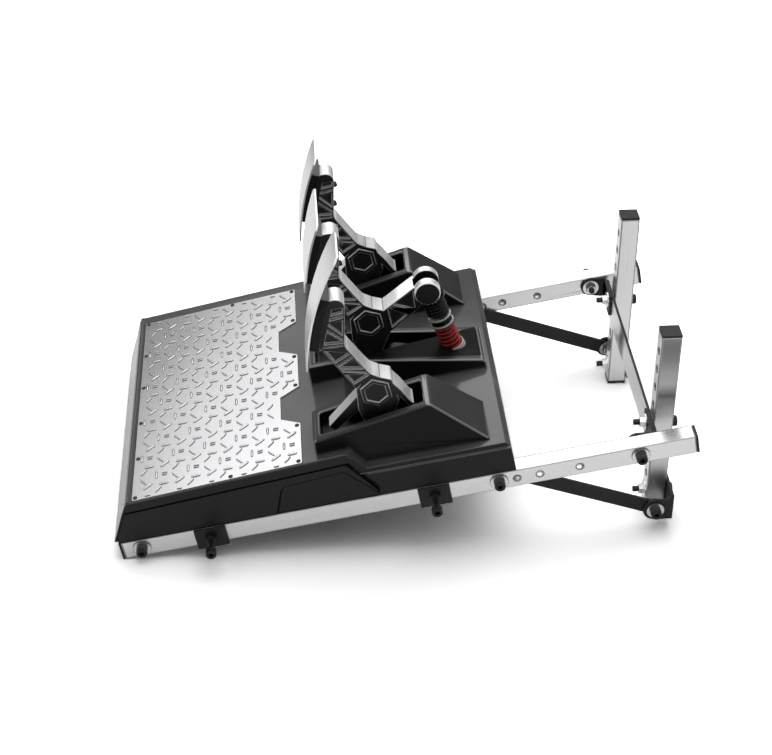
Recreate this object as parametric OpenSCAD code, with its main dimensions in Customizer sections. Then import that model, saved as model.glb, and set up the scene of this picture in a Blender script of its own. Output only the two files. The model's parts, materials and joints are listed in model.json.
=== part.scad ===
/* [Stand] */
// Slope of the rails against the floor, in degrees
incline = 10.5; // [6:0.5:14]
// Outer width over the two rails
stand_width = 336; // [310:1:380]
// Side of the square tube of rails and posts
tube = 20; // [16:1:24]
// Wall of the square tube
tube_wall = 1.8; // [1.2:0.1:2.6]
// Length of each rail, end caps included
rail_length = 585; // [575:1:640]
// Height of the rear posts, end caps included
post_height = 217; // [190:1:260]
// From the rear end of the rails to the front faces of the posts, along the floor
post_inset = 38.7; // [34:0.1:45]
// Outer distance over the two posts
post_span = 250; // [220:1:262]
// Step between the holes up each post, the first one step above the floor
post_hole_pitch = 21.5; // [18:0.5:26]
// Diameter of the bolt holes
hole_d = 6.6; // [6.2:0.1:7.4]
// Thickness of the plastic end caps outside the tubes
cap_t = 2.5; // [1.5:0.1:4]
// Thickness of crossbar, brackets and braces
plate_t = 3; // [2:0.1:4]
// Height of the crossbar
crossbar_height = 31; // [24:1:36]
// Width of the braces
brace_width = 16; // [14:0.5:20]

/* [Screws] */
// Diameter of the screw shanks
screw_d = 6; // [5:0.1:6]
// Diameter of the socket heads
head_d = 10.5; // [9:0.1:12]
// Height of the socket heads
head_h = 8; // [5:0.1:10]
// Size of the hexagon socket, over the corners
socket_d = 5.8; // [4:0.1:6.5]
// Diameter of the washers
washer_d = 18.5; // [14:0.1:19]
// Thickness of the washers
washer_t = 1.5; // [1:0.1:2]
// Hexagon nut, over the corners
nut_d = 11.5; // [10:0.1:13]
// Height of the nuts
nut_h = 5; // [4:0.1:6]
// How far the clamp screws stand out from the clamps
clamp_reach = 28; // [18:1:36]

/* [Base] */
// Depth of the base along the rails
base_depth = 404; // [398:1:430]
// Height of the rear deck above the rail bottoms
deck_z = 54; // [48:0.5:58]
// Height of the rim round the foot wedge, at the front edge of the heel plate
wedge_z = 68.2; // [64:0.1:74]
// Rise of the foot wedge towards the pedals, in degrees
wedge_rise = 2.6; // [0:0.1:4]
// How far the rim stands above the seat of the heel plate
rim_height = 5.3; // [3:0.1:7]
// Width of the slanted inside of the rim along the sides
rim_slant = 6.5; // [3:0.5:7]
// Width of the slanted inside of the rim along the front
lip_slant = 3; // [1:0.5:4]
// Where the foot wedge ends and the step down begins
wedge_end = 243; // [238:1:248]
// Length of the step down to the rear deck
step_length = 17; // [10:1:24]
// Wall of the base moulding
base_wall = 3; // [2:0.1:4]
// Bevel along the sides of the wedge
bevel = 1.2; // [0.6:0.1:1.5]
// From the rim down to the groove over the side panels
panel_drop = 11.4; // [9:0.1:14]
// Rounding of the front edge of the wedge
lip_r = 9; // [4:0.5:10]
// Depth of the recess in each side panel
recess_depth = 1.2; // [0.6:0.1:2]
// Thickness of the side panels
panel_t = 3.2; // [2.4:0.1:4.5]

/* [Heel plate] */
// Length of the heel plate, along the rails
heel_length = 174; // [150:1:178]
// Half of the width of the heel plate
heel_half = 160; // [140:0.5:160.5]
// Thickness of the heel plate
heel_t = 1.5; // [1:0.1:2.5]
// Depth of the two notches in the rear edge
notch_depth = 20; // [10:0.5:28]
// Width of each notch at its bottom
notch_width = 38.5; // [30:0.5:44]
// Slant of the notch sides, across
notch_slant = 13; // [4:0.5:16]

/* [Housings] */
// Distance between neighbouring pedals
pedal_pitch = 123.5; // [118:0.5:130]
// Half width of the housings at the top
housing_half = 27; // [26:0.5:30]
// Draft of the housing sides, in degrees
housing_draft = 5; // [2:0.5:6]
// Front of the housings
housing_front = 213; // [210:0.5:218]
// Rise of the housing top, in degrees
housing_rise = 9.2; // [7:0.1:10]
// Top of the housings at their front
housing_top = 87; // [85:0.5:92]
// Where the housing top ends and its rear slope begins
housing_peak = 333; // [331:0.5:340]
// Where the rear slope meets the deck
housing_end = 384; // [378:0.5:392]
// Half width of the slots that the pedal arms pass through
slot_half = 18; // [17.6:0.1:19]
// Front of the slots
slot_front = 221.5; // [218:0.5:223]
// Rear of the slots
slot_rear = 327; // [327:0.5:330]
// Rear end of the brake trough
trough_end = 395; // [390:0.5:400]
// Half width of the opening of the brake trough
trough_half = 22.5; // [20:0.5:24]
// Top of the trough at its front
trough_top = 93; // [88:0.5:96]
// Where the trough rim starts to fall
trough_bend = 250; // [240:1:260]
// Height of the trough rim at its rear end
trough_low = 62.5; // [60:0.5:66]
// Height of the trough floor above the deck
trough_floor = 3; // [2:0.1:4]

/* [Pedals] */
// Pivot of the pedals, along the rails
pivot_y = 278; // [274:0.5:282]
// Pivot of the pedals, above the rail bottoms
pivot_z = 79; // [76:0.5:80]
// Height of the arm heads above the pivots
arm_rise = 146; // [143:0.5:148]
// Radius of the pivot pins
pin_r = 4; // [3:0.1:5]
// Running clearance round the pivot pins
pin_gap = 0.08; // [0.04:0.01:0.1]
// Half thickness of the pedal arms
arm_half = 12; // [10:0.1:12]
// Hexagon boss on the arms, over the corners
boss_d = 32; // [26:0.5:34]
// Width of the hexagon ring on the boss, over both corners
boss_ring = 8; // [5:0.5:10]
// How far the hexagon boss stands out
boss_out = 1; // [0.5:0.1:1]
// Depth of the pockets between the ribs of the arms
pocket_depth = 3.5; // [2:0.1:6]
// Width of the ribs along the edges of the arms
rib = 2; // [1.6:0.1:3]
// Half thickness of the return lever in front of each hub
lever_half = 8; // [6:0.1:9]
// Thickness of the metal face plates
face_t = 2; // [1.5:0.1:3]
// Bulge of the face plates over their full height
face_bulge = 7; // [2:0.5:8]
// Thickness of the black pads behind the face plates
pad_t = 10; // [7:0.5:12]
// Half width of the pads
pad_half = 19.5; // [16:0.5:21]
// Height of the top edge of the pads
pad_high = 241; // [236:0.5:244]
// Height of the lower edge of the pads
pad_low = 190; // [186:0.5:196]
// Half width of the throttle face
throttle_half = 27; // [22:0.5:32]
// Half width of the brake face
brake_half = 40.5; // [32:0.5:44]
// Half width of the clutch face
clutch_half = 26.5; // [22:0.5:32]
// Height of the top edge of the throttle face
throttle_face_top = 287; // [262:1:292]
// Height of the top edge of the clutch face
clutch_face_top = 260; // [250:1:270]
// Height of the top edge of the brake face
brake_face_top = 261; // [250:1:268]

/* [Brake stack] */
// Radius of the round ears of the brake arm
ear_r = 13.5; // [12:0.5:14]
// Thickness of each ear
ear_t = 10; // [8:0.1:10.5]
// Half width over the two ears
fork_half = 17; // [16:0.1:18]
// Outer radius of the black springs
black_r = 12; // [10:0.5:12.5]
// Outer radius of the red springs
red_r = 11; // [9:0.5:12.5]
// Outer radius of the pale spacers
spacer_r = 12.5; // [10:0.5:14]
// Outer radius of the cup under the stack
cup_r = 14.2; // [13.5:0.1:16]
// Height of the cup
cup_h = 11; // [9:0.5:14]
// Height of the red springs
red_h = 35; // [30:0.5:38]
// Height over the two pale spacers and the collar between them
spacer_h = 10.5; // [8:0.5:14]
// Radius of the guide rod in the stack
rod_r = 4; // [3:0.1:5]

/* [Hidden] */
$fn = 64;
seat = 0.3;
slack = 0.1;
half_w = stand_width / 2;
rail_in = half_w - tube;
post_out = post_span / 2;
post_mid = post_out - tube / 2;
rail_mid = tube / 2;

// Holes along the rails: front, front clamp, rear clamp, brace, upper bracket, then the free ones
front_hole = 22;
clamp_front = 93;
clamp_rear = 320;
brace_hole = base_depth - 19;
bracket_hole = rail_length - 58;
free_steps = [18, 41, 81] / 142;
free_holes = [for (t = free_steps) brace_hole + t * (bracket_hole - brace_hole)];
post_y = rail_length * cos(incline) - post_inset;
clamp_width = 32;
clamp_drop = 3;

bolt_low = post_hole_pitch;
bolt_high = 5 * post_hole_pitch;
foot_hole_y = post_y + 4.5;
// Room between a foot bolt's inner washer and the post: a thinner nut goes there when the post stands close
post_clearance = 0.4;
foot_room = rail_in - plate_t - washer_t - post_out - post_clearance;
foot_nut_h = min(nut_h, foot_room);
foot_bolt_out = min(nut_h + 2, foot_room);

base_bottom = tube + seat;
base_front = -4;
centre_y = ((rail_length + base_front) * cos(incline) - base_bottom * sin(incline)) / 2;
heel_front = 25;
step_end = wedge_end + step_length;
deck_edge = 6;
deck_half = half_w;
panel_in = half_w - panel_t;
groove = 0.8;

function wedge_at(y) = wedge_z + (y - heel_front) * tan(wedge_rise);
function tray_at(y) = wedge_at(y) - rim_height / cos(wedge_rise);
wedge_lip = [heel_front - 5.4, wedge_at(heel_front - 5.4)];
step_fall = (wedge_at(wedge_end) - deck_z) / step_length;
tray_end = wedge_end + rim_height / cos(wedge_rise) / (step_fall + tan(wedge_rise));
function housing_at(y) = housing_top + (y - housing_front) * tan(housing_rise);
function trough_at(y) = y < trough_bend ? trough_top : trough_top - (y - trough_bend) * (trough_top - trough_low) / (trough_end - trough_bend);

// Points of the pedals in the plane of the rails, as [y, z], scaled from the pivot
pivot = [pivot_y, pivot_z];
function at(y, z) = pivot + arm_rise / 146 * [y, z];
hub = at(5.5, 42);
hub_turn = 33;
arm_head = at(-14, 146);
head_r = 9;
boss_r = 10;
neck_rear = at(5.2, 62.5);
neck_front = at(-12.5, 50.5);
elbow_rear = at(-14, 102);
elbow_front = at(-36.5, 103);
head_rear = arm_head + head_r * [cos(12), -sin(12)];
lever_root = at(-6.5, 36);
lever_tip = at(-45, 6);
clevis = at(71, 66.5);
stack_foot = [trough_end - 30, deck_z + trough_floor + 2];

throttle_lean = 23.7;
clutch_lean = 20.8;
brake_lean = 20;
face_low = at(-55, 85);
brake_low = at(-50, 103);

function face_of(low, lean, top, half) = [low, [low[0] + (top - low[1]) * tan(lean), top], half];
throttle_face = face_of(face_low, throttle_lean, throttle_face_top, throttle_half);
clutch_face = face_of(face_low, clutch_lean, clutch_face_top, clutch_half);
brake_face = face_of(brake_low, brake_lean, brake_face_top, brake_half);

function chord(f) = norm(f[1] - f[0]);
function middle(f) = (f[1] + f[0]) / 2;
function lean(f) = atan2(f[1][1] - f[0][1], f[1][0] - f[0][0]);
function bulge(f) = face_bulge * pow(chord(f) / 125, 2);
function bow(f) = pow(chord(f), 2) / (8 * bulge(f)) + bulge(f) / 2;
function bow_centre(f) = middle(f) - (bow(f) - bulge(f)) * [-sin(lean(f)), cos(lean(f))];

stack_way = clevis - stack_foot;
stack_length = norm(stack_way);
stack_lean = atan2(-stack_way[0], stack_way[1]);
head_seat = stack_length - ear_r - 3.5;

// Rounded outlines: one arc of a few points for each corner
function unit(v) = v / norm(v);
function turn(a, b) = b - a > 180 ? b - a - 360 : b - a < -180 ? b - a + 360 : b - a;
function arc_of(o, r, a, d, n) = [for (i = [0:n]) o + r * [cos(a + d * i / n), sin(a + d * i / n)]];
function corner(a, b, c, r, n) =
  let (u = unit(a - b))
  let (v = unit(c - b))
  let (half = acos(u * v) / 2)
  let (o = b + unit(u + v) * r / sin(half))
  let (s = b + u * r / tan(half) - o)
  let (e = b + v * r / tan(half) - o)
  let (a0 = atan2(s[1], s[0]))
  arc_of(o, r, a0, turn(a0, atan2(e[1], e[0])), n);
function rounded(p, r, n = 4) =
  [for (i = [0:len(p) - 1]) each corner(p[(i + len(p) - 1) % len(p)], p[i], p[(i + 1) % len(p)], r, n)];

module on_floor_frame() {
  translate([0, -centre_y, 0]) children();
}

module inclined() {
  on_floor_frame() rotate([incline, 0, 0]) children();
}

module both() {
  children();
  mirror([1, 0, 0]) children();
}

module yz(x0, x1) {
  translate([x0, 0, 0]) rotate([90, 0, 90]) linear_extrude(x1 - x0) children();
}

module along_x(x0, x1, y, z, r) {
  translate([x0, y, z]) rotate([0, 90, 0]) cylinder(h = x1 - x0, r = r);
}

module along_y(y0, y1, x, z, r) {
  translate([x, y0, z]) rotate([-90, 0, 0]) cylinder(h = y1 - y0, r = r);
}

// A flat bar between two points with round ends
module link2d(a, b, w) {
  bar2d(a, b, w, w);
  translate(a) circle(d = w);
  translate(b) circle(d = w);
}

module bar2d(a, b, wa, wb) {
  d = unit(b - a);
  n = [-d[1], d[0]];
  polygon([a + n * wa / 2, a - n * wa / 2, b - n * wb / 2, b + n * wb / 2]);
}

// Pocket between the two edges of a beam: from p[0] to p[1] along the first edge and from p[2] to p[3]
// along the second, as fractions of their lengths
function part_way(a, b, u, s) = a + (b - a) * u + s * rib * unit([a[1] - b[1], b[0] - a[0]]);
module pocket2d(e, p) {
  polygon([
    part_way(e[0], e[1], p[0], 1),
    part_way(e[0], e[1], p[1], 1),
    part_way(e[2], e[3], p[3], -1),
    part_way(e[2], e[3], p[2], -1)
  ]);
}

// Stand

module rail_shape() {
  difference() {
    translate([rail_in, cap_t, 0]) cube([tube, rail_length - 2 * cap_t, tube]);
    translate([rail_in + tube_wall, 0, tube_wall])
      cube([tube - 2 * tube_wall, rail_length, tube - 2 * tube_wall]);
    for (y = concat([front_hole, clamp_front, clamp_rear, brace_hole, bracket_hole], free_holes))
      along_x(rail_in - 1, half_w + 1, y, rail_mid, hole_d / 2);
  }
}

module rail_right() {
  color("silver") inclined() rail_shape();
}

module rail_left() {
  color("silver") inclined() mirror([1, 0, 0]) rail_shape();
}

// A plastic cap on a tube end at the origin: its plug goes up the tube along +Z
module tube_cap() {
  inner = tube - 2 * tube_wall - 2 * slack;
  translate([-tube / 2, -tube / 2, -cap_t]) cube([tube, tube, cap_t]);
  difference() {
    translate([-inner / 2, -inner / 2, 0]) cube([inner, inner, 10]);
    translate([-inner / 2 + 2, -inner / 2 + 2, 0]) cube([inner - 4, inner - 4, 11]);
  }
}

module rail_caps() {
  color("black") inclined() both() {
    translate([rail_in + tube / 2, cap_t, rail_mid]) rotate([-90, 0, 0]) tube_cap();
    translate([rail_in + tube / 2, rail_length - cap_t, rail_mid]) rotate([90, 0, 0]) tube_cap();
  }
}

module post_shape() {
  difference() {
    translate([post_out - tube, post_y, cap_t]) cube([tube, tube, post_height - 2 * cap_t]);
    translate([post_out - tube + tube_wall, post_y + tube_wall, 0])
      cube([tube - 2 * tube_wall, tube - 2 * tube_wall, post_height]);
    for (k = [1:floor((post_height - 15) / post_hole_pitch)])
      along_y(post_y - 1, post_y + tube + 1, post_mid, k * post_hole_pitch, hole_d / 2);
  }
}

module post_right() {
  color("silver") on_floor_frame() post_shape();
}

module post_left() {
  color("silver") on_floor_frame() mirror([1, 0, 0]) post_shape();
}

module post_caps() {
  color("black") on_floor_frame() both() {
    translate([post_mid, post_y + tube / 2, cap_t]) tube_cap();
    translate([post_mid, post_y + tube / 2, post_height - cap_t]) rotate([180, 0, 0]) tube_cap();
  }
}

module crossbar() {
  color("silver") on_floor_frame() difference() {
    translate([-rail_in + plate_t, post_y - plate_t, bolt_high + 7.5 - crossbar_height])
      cube([2 * (rail_in - plate_t), plate_t, crossbar_height]);
    both() along_y(post_y - plate_t - 1, post_y + 1, post_mid, bolt_high, hole_d / 2);
  }
}

// Upper bracket: one leg on the inside of the rail, one in front of the crossbar
bracket_front = post_y - 2 * plate_t;
upper_low = bolt_high - 14.5;
upper_high = bolt_high + 10;
function on_floor(y, z) = [y * cos(incline) - z * sin(incline), y * sin(incline) + z * cos(incline)];
bracket_bolt = on_floor(bracket_hole, rail_mid);
module upper_bracket_shape() {
  difference() {
    union() {
      yz(rail_in - plate_t, rail_in) {
        translate(bracket_bolt) circle(r = 11);
        polygon([
          bracket_bolt + [-2, 10.8],
          [bracket_front + plate_t, upper_high],
          [bracket_front + plate_t, upper_low],
          bracket_bolt + [-2, -10.8]
        ]);
      }
      translate([post_mid - tube / 2, bracket_front, upper_low])
        cube([rail_in - post_mid + tube / 2, plate_t, upper_high - upper_low]);
    }
    along_x(rail_in - plate_t - 1, rail_in + 1, bracket_bolt[0], bracket_bolt[1], hole_d / 2);
    along_y(bracket_front - 1, bracket_front + plate_t + 1, post_mid, bolt_high, hole_d / 2);
  }
}

module upper_bracket_right() {
  color("dimgray") on_floor_frame() upper_bracket_shape();
}

module upper_bracket_left() {
  color("dimgray") on_floor_frame() mirror([1, 0, 0]) upper_bracket_shape();
}

// Lower bracket: one leg behind the post, one outside the foot of the brace
foot_bolt = [foot_hole_y, bolt_low];
lower_bottom = 9;
module lower_bracket_shape() {
  back = post_y + tube;
  difference() {
    union() {
      yz(rail_in, rail_in + plate_t) {
        translate(foot_bolt) circle(r = 12.4);
        translate([foot_hole_y, lower_bottom]) square([back + plate_t - foot_hole_y, 25]);
      }
      translate([post_out - tube - 4, back, lower_bottom])
        cube([rail_in + plate_t - post_out + tube + 4, plate_t, 30]);
    }
    along_x(rail_in - 1, rail_in + plate_t + 1, foot_hole_y, bolt_low, hole_d / 2);
    along_y(back - 1, back + plate_t + 1, post_mid, bolt_low, hole_d / 2);
  }
}

module lower_bracket_right() {
  color("dimgray") on_floor_frame() lower_bracket_shape();
}

module lower_bracket_left() {
  color("dimgray") on_floor_frame() mirror([1, 0, 0]) lower_bracket_shape();
}

brace_top = on_floor(brace_hole, rail_mid);
module brace_shape() {
  yz(rail_in - plate_t, rail_in) difference() {
    link2d(brace_top, foot_bolt, brace_width);
    translate(brace_top) circle(d = hole_d);
    translate(foot_bolt) circle(d = hole_d);
  }
}

module brace_right() {
  color("dimgray") on_floor_frame() brace_shape();
}

module brace_left() {
  color("dimgray") on_floor_frame() mirror([1, 0, 0]) brace_shape();
}

// Screws

// Socket screw along +X: shank up to the face at the origin, head beyond it
module socket_screw(shank, tall = head_h) {
  rotate([0, 90, 0]) {
    translate([0, 0, -shank]) cylinder(h = shank + 1, d = screw_d);
    difference() {
      cylinder(h = tall, d = head_d);
      translate([0, 0, tall - 4]) cylinder(h = 5, d = socket_d, $fn = 6);
    }
  }
}

module washer_x() {
  rotate([0, 90, 0]) difference() {
    cylinder(h = washer_t, d = washer_d);
    translate([0, 0, -1]) cylinder(h = washer_t + 2, d = screw_d + 2 * slack);
  }
}

module nut_x(tall = nut_h) {
  rotate([0, 90, 0]) difference() {
    cylinder(h = tall, d = nut_d, $fn = 6);
    translate([0, 0, -1]) cylinder(h = tall + 2, d = screw_d + 2 * slack);
  }
}

module rail_screws() {
  color("black") inclined() both() {
    translate([half_w + washer_t, front_hole, rail_mid]) socket_screw(tube);
    translate([half_w + washer_t, brace_hole, rail_mid]) socket_screw(tube + plate_t + nut_h + 3);
    translate([half_w + washer_t, bracket_hole, rail_mid]) socket_screw(tube + plate_t + nut_h + 6);
  }
}

module rail_washers() {
  color("lightgray") inclined() both() {
    for (y = [front_hole, brace_hole, bracket_hole]) translate([half_w, y, rail_mid]) washer_x();
    translate([rail_in - plate_t - washer_t, bracket_hole, rail_mid]) washer_x();
    translate([rail_in - plate_t - washer_t - nut_h, bracket_hole, rail_mid]) nut_x();
    translate([rail_in - plate_t - nut_h, brace_hole, rail_mid]) nut_x();
  }
}

module foot_screws() {
  color("black") on_floor_frame() both() {
    translate([rail_in + plate_t + washer_t, foot_hole_y, bolt_low])
      socket_screw(2 * plate_t + 2 * washer_t + foot_bolt_out);
  }
}

module foot_washers() {
  color("lightgray") on_floor_frame() both() {
    translate([rail_in + plate_t, foot_hole_y, bolt_low]) washer_x();
    translate([rail_in - plate_t - washer_t, foot_hole_y, bolt_low]) washer_x();
    translate([rail_in - plate_t - washer_t - foot_nut_h, foot_hole_y, bolt_low]) nut_x(foot_nut_h);
  }
}

module post_bolts() {
  back_low = post_y + tube + plate_t;
  color("black") on_floor_frame() both() {
    translate([post_mid, post_y + tube, bolt_high]) rotate([0, 0, 90])
      socket_screw(tube + 2 * plate_t + washer_t + nut_h + 6, head_h * 0.7);
    translate([post_mid, back_low, bolt_low]) rotate([0, 0, 90])
      socket_screw(tube + plate_t + washer_t + nut_h + 6, head_h * 0.7);
  }
}

module post_nuts() {
  color("lightgray") on_floor_frame() both() {
    translate([post_mid, bracket_front - washer_t, bolt_high]) rotate([0, 0, 90]) washer_x();
    translate([post_mid, bracket_front - washer_t - nut_h, bolt_high]) rotate([0, 0, 90]) nut_x();
    translate([post_mid, post_y - washer_t, bolt_low]) rotate([0, 0, 90]) washer_x();
    translate([post_mid, post_y - washer_t - nut_h, bolt_low]) rotate([0, 0, 90]) nut_x();
  }
}

// Clamps that hold the base to the rails: a plate and a long socket screw
module clamp_shape() {
  difference() {
    translate([half_w, -clamp_width / 2, -clamp_drop]) cube([plate_t, clamp_width, base_bottom + clamp_drop]);
    along_x(half_w - 1, half_w + plate_t + 2, 0, rail_mid, hole_d / 2);
  }
}

module rail_clamps() {
  color("dimgray") inclined() both()
    for (y = [clamp_front, clamp_rear]) translate([0, y, 0]) clamp_shape();
}

module clamp_screws() {
  color("black") inclined() both()
    for (y = [clamp_front, clamp_rear]) translate([half_w + plate_t, y, rail_mid]) {
      translate([clamp_reach - head_h, 0, 0]) socket_screw(clamp_reach - head_h + plate_t + tube);
      rotate([0, 90, 0]) difference() {
        cylinder(h = nut_h + 1, d = nut_d + 0.5, $fn = 6);
        translate([0, 0, -1]) cylinder(h = nut_h + 3, d = screw_d - 0.5);
      }
    }
}

// Base

module in_wedge() {
  translate([0, heel_front, wedge_z]) rotate([wedge_rise, 0, 0]) children();
}

module along_wedge(y0, y1) {
  rotate([90, 0, 0]) translate([0, 0, -y1]) linear_extrude(y1 - y0) children();
}

// The seat of the heel plate, with slanted sides and front
tray_gap = 0.4;
module tray() {
  w = heel_half + tray_gap;
  over = (rim_height + 3) / rim_height;
  in_wedge() intersection() {
    along_wedge(-20, step_end) polygon([
      [-w, -rim_height],
      [w, -rim_height],
      [w + rim_slant * over, 3],
      [-w - rim_slant * over, 3]
    ]);
    yz(-deck_half - 9, deck_half + 9) polygon([
      [-tray_gap, -rim_height],
      [step_end, -rim_height],
      [step_end, 3],
      [-tray_gap - lip_slant * over, 3]
    ]);
  }
}

function panel_line(y) = wedge_at(y) - panel_drop;
rabbet = [3.5, 5];
module deck() {
  outer = concat(
    [[base_front, base_bottom]],
    corner([base_front, base_bottom], wedge_lip, [wedge_end, wedge_at(wedge_end)], lip_r, 6),
    [
      [wedge_end, wedge_at(wedge_end)],
      [step_end, deck_z],
      [base_depth - deck_edge, deck_z],
      [base_depth - 1, deck_z - deck_edge],
      [base_depth, base_bottom]
    ]
  );
  inner = [
    [base_front + base_wall + 1, base_bottom - 1],
    [wedge_lip[0] + 1, tray_at(heel_front) - base_wall],
    [wedge_end - 1, tray_at(wedge_end) - base_wall],
    [step_end - 1, deck_z - base_wall],
    [base_depth - deck_edge - 2, deck_z - base_wall],
    [base_depth - base_wall - 1, deck_z - deck_edge - 2],
    [base_depth - base_wall, base_bottom - 1]
  ];
  panel_pocket = [
    [-20, base_bottom - 1],
    [-20, panel_line(-20)],
    [wedge_end + 1, panel_line(wedge_end + 1)],
    [step_end - 2, deck_z - 5],
    [step_end + 17, base_bottom - 1]
  ];
  color([0.12, 0.12, 0.12]) inclined() difference() {
    yz(-deck_half, deck_half) polygon(outer);
    yz(-panel_in + base_wall, panel_in - base_wall) polygon(inner);
    tray();
    both() {
      yz(panel_in - slack, deck_half + 1) polygon(panel_pocket);
      in_wedge() along_wedge(-20, step_end) polygon([
        [deck_half - bevel, 0],
        [deck_half + bevel, -2 * bevel],
        [deck_half + bevel, bevel]
      ]);
      yz(deck_half - rabbet[0], deck_half + 1) polygon([
        [step_end - 12, deck_z - rabbet[1]],
        [base_depth + 1, deck_z - rabbet[1]],
        [base_depth + 1, deck_z + 40],
        [step_end - 12, deck_z + 40]
      ]);
    }
  }
}

// Side panel under the rim of the wedge, with its long shallow recess
module side_panel_shape() {
  top = panel_line(wedge_end) - groove;
  front_y = heel_front - 9.5;
  outline = [
    [-3.5, base_bottom],
    [front_y, panel_line(front_y) - groove],
    [wedge_end - 2, top],
    [step_end + 12, base_bottom]
  ];
  recess = [
    [160, base_bottom - 8],
    [174, top - 14],
    [wedge_end - 6, top - 9],
    [step_end + 17, base_bottom - 8]
  ];
  difference() {
    yz(panel_in, half_w) polygon(rounded(outline, 5, 5));
    yz(half_w - recess_depth, half_w + 1) polygon(rounded(recess, 7, 5));
  }
}

module side_panel_right() {
  color([0.16, 0.16, 0.17]) inclined() side_panel_shape();
}

module side_panel_left() {
  color([0.16, 0.16, 0.17]) inclined() mirror([1, 0, 0]) side_panel_shape();
}

module heel_plate() {
  n0 = pedal_pitch / 2 - notch_width / 2;
  n1 = pedal_pitch / 2 + notch_width / 2;
  deep = heel_length - notch_depth;
  outline = [
    [-heel_half, 0],
    [heel_half, 0],
    [heel_half, heel_length],
    [n1 + notch_slant, heel_length],
    [n1, deep],
    [n0, deep],
    [n0 - notch_slant, heel_length],
    [-n0 + notch_slant, heel_length],
    [-n0, deep],
    [-n1, deep],
    [-n1 - notch_slant, heel_length],
    [-heel_half, heel_length]
  ];
  color([0.8, 0.8, 0.82]) inclined() in_wedge() translate([0, 0, -rim_height])
    linear_extrude(heel_t) polygon(rounded(outline, 1.5, 3));
}

// Housing of an outer pedal: drafted sides, a long slot in the sloping top and bores for the pin
module housing_shape() {
  side = [
    [housing_front, tray_at(housing_front)],
    [housing_front, housing_top - 2],
    [housing_front + 2, housing_at(housing_front + 2)],
    [housing_peak - 2, housing_at(housing_peak - 2)],
    [housing_peak + 2, housing_at(housing_peak) - 2],
    [housing_end, deck_z + 1.5],
    [housing_end, deck_z],
    [step_end, deck_z],
    [tray_end, tray_at(tray_end)]
  ];
  widen = 80 * tan(housing_draft);
  e = housing_edge;
  difference() {
    yz(-45, 45) polygon(side);
    both() translate([0, housing_front, housing_top]) rotate([90 + housing_rise, 0, 0]) translate([0, 0, -220])
      linear_extrude(260) polygon(concat(
        [[housing_half - e, 8]],
        arc_of([housing_half - e, -e], e, 90, -90, 4),
        [
          [housing_half + widen, -80 - e],
          [90, -80 - e],
          [90, 8]
        ]
      ));
    translate([0, 0, 40]) linear_extrude(90)
      polygon(rounded([
        [-slot_half, slot_front],
        [slot_half, slot_front],
        [slot_half, slot_rear],
        [-slot_half, slot_rear]
      ], 3, 4));
    along_x(-pin_end - slack, pin_end + slack, pivot_y, pivot_z, pin_r + slack / 2);
  }
}

pin_end = housing_half - 2;
housing_edge = 3;

module throttle_housing() {
  color([0.1, 0.1, 0.1]) inclined() translate([pedal_pitch, 0, 0]) housing_shape();
}

module clutch_housing() {
  color([0.1, 0.1, 0.1]) inclined() translate([-pedal_pitch, 0, 0]) housing_shape();
}

// Open trough of the brake: a tub with a falling rim
module brake_trough() {
  side = [
    [housing_front - 1, tray_at(housing_front - 1)],
    [housing_front - 1, trough_top - 2],
    [housing_front + 1, trough_top],
    [trough_bend, trough_top],
    [trough_end - 3, trough_low + 1],
    [trough_end, trough_low - 2],
    [trough_end, deck_z],
    [step_end, deck_z],
    [tray_end, tray_at(tray_end)]
  ];
  widen = 80 * tan(housing_draft);
  floor_z = deck_z + trough_floor;
  cavity = [
    [slot_front, tray_at(tray_end) + trough_floor],
    [slot_front, 120],
    [trough_end - 6, 120],
    [trough_end - 6, floor_z],
    [step_end + 2, floor_z],
    [tray_end + 1, tray_at(tray_end) + trough_floor]
  ];
  color([0.1, 0.1, 0.1]) inclined() difference() {
    yz(-45, 45) polygon(side);
    both() translate([0, 0, trough_top]) rotate([90, 0, 0]) translate([0, 0, -trough_end - 10])
      linear_extrude(trough_end) polygon([
        [housing_half + 2.5, 30],
        [housing_half + 2.5, 0],
        [housing_half + 2.5 + widen, -80],
        [90, -80],
        [90, 30]
      ]);
    yz(-trough_half, trough_half) polygon(cavity);
    along_x(-pin_end - slack, pin_end + slack, pivot_y, pivot_z, pin_r + slack / 2);
  }
}

module pivot_pins() {
  color("silver") inclined() for (k = [-1:1])
    along_x(k * pedal_pitch - pin_end, k * pedal_pitch + pin_end, pivot_y, pivot_z, pin_r);
}

// Pedals

module face_frame(f) {
  translate([0, middle(f)[0], middle(f)[1]]) rotate([lean(f), 0, 0]) children();
}

module ring2d(f, outer, inner) {
  translate([0, bulge(f) - bow(f)]) difference() {
    circle(r = outer, $fn = 256);
    circle(r = inner, $fn = 256);
  }
}

// Curved metal face with slanted shoulders
module face_shape(f) {
  h = chord(f) / 2;
  w = f[2];
  outline = [
    [-w * 0.72, -h],
    [w * 0.72, -h],
    [w, -h * 0.55],
    [w, h * 0.9],
    [w - 4, h],
    [-w + 4, h],
    [-w, h * 0.9],
    [-w, -h * 0.55]
  ];
  face_frame(f) intersection() {
    yz(-w - 1, w + 1) intersection() {
      ring2d(f, bow(f), bow(f) - face_t);
      translate([-h - 5, -20]) square([2 * h + 10, 40]);
    }
    translate([0, 0, -30]) linear_extrude(60) polygon(rounded(outline, 3, 4));
  }
}

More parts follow.
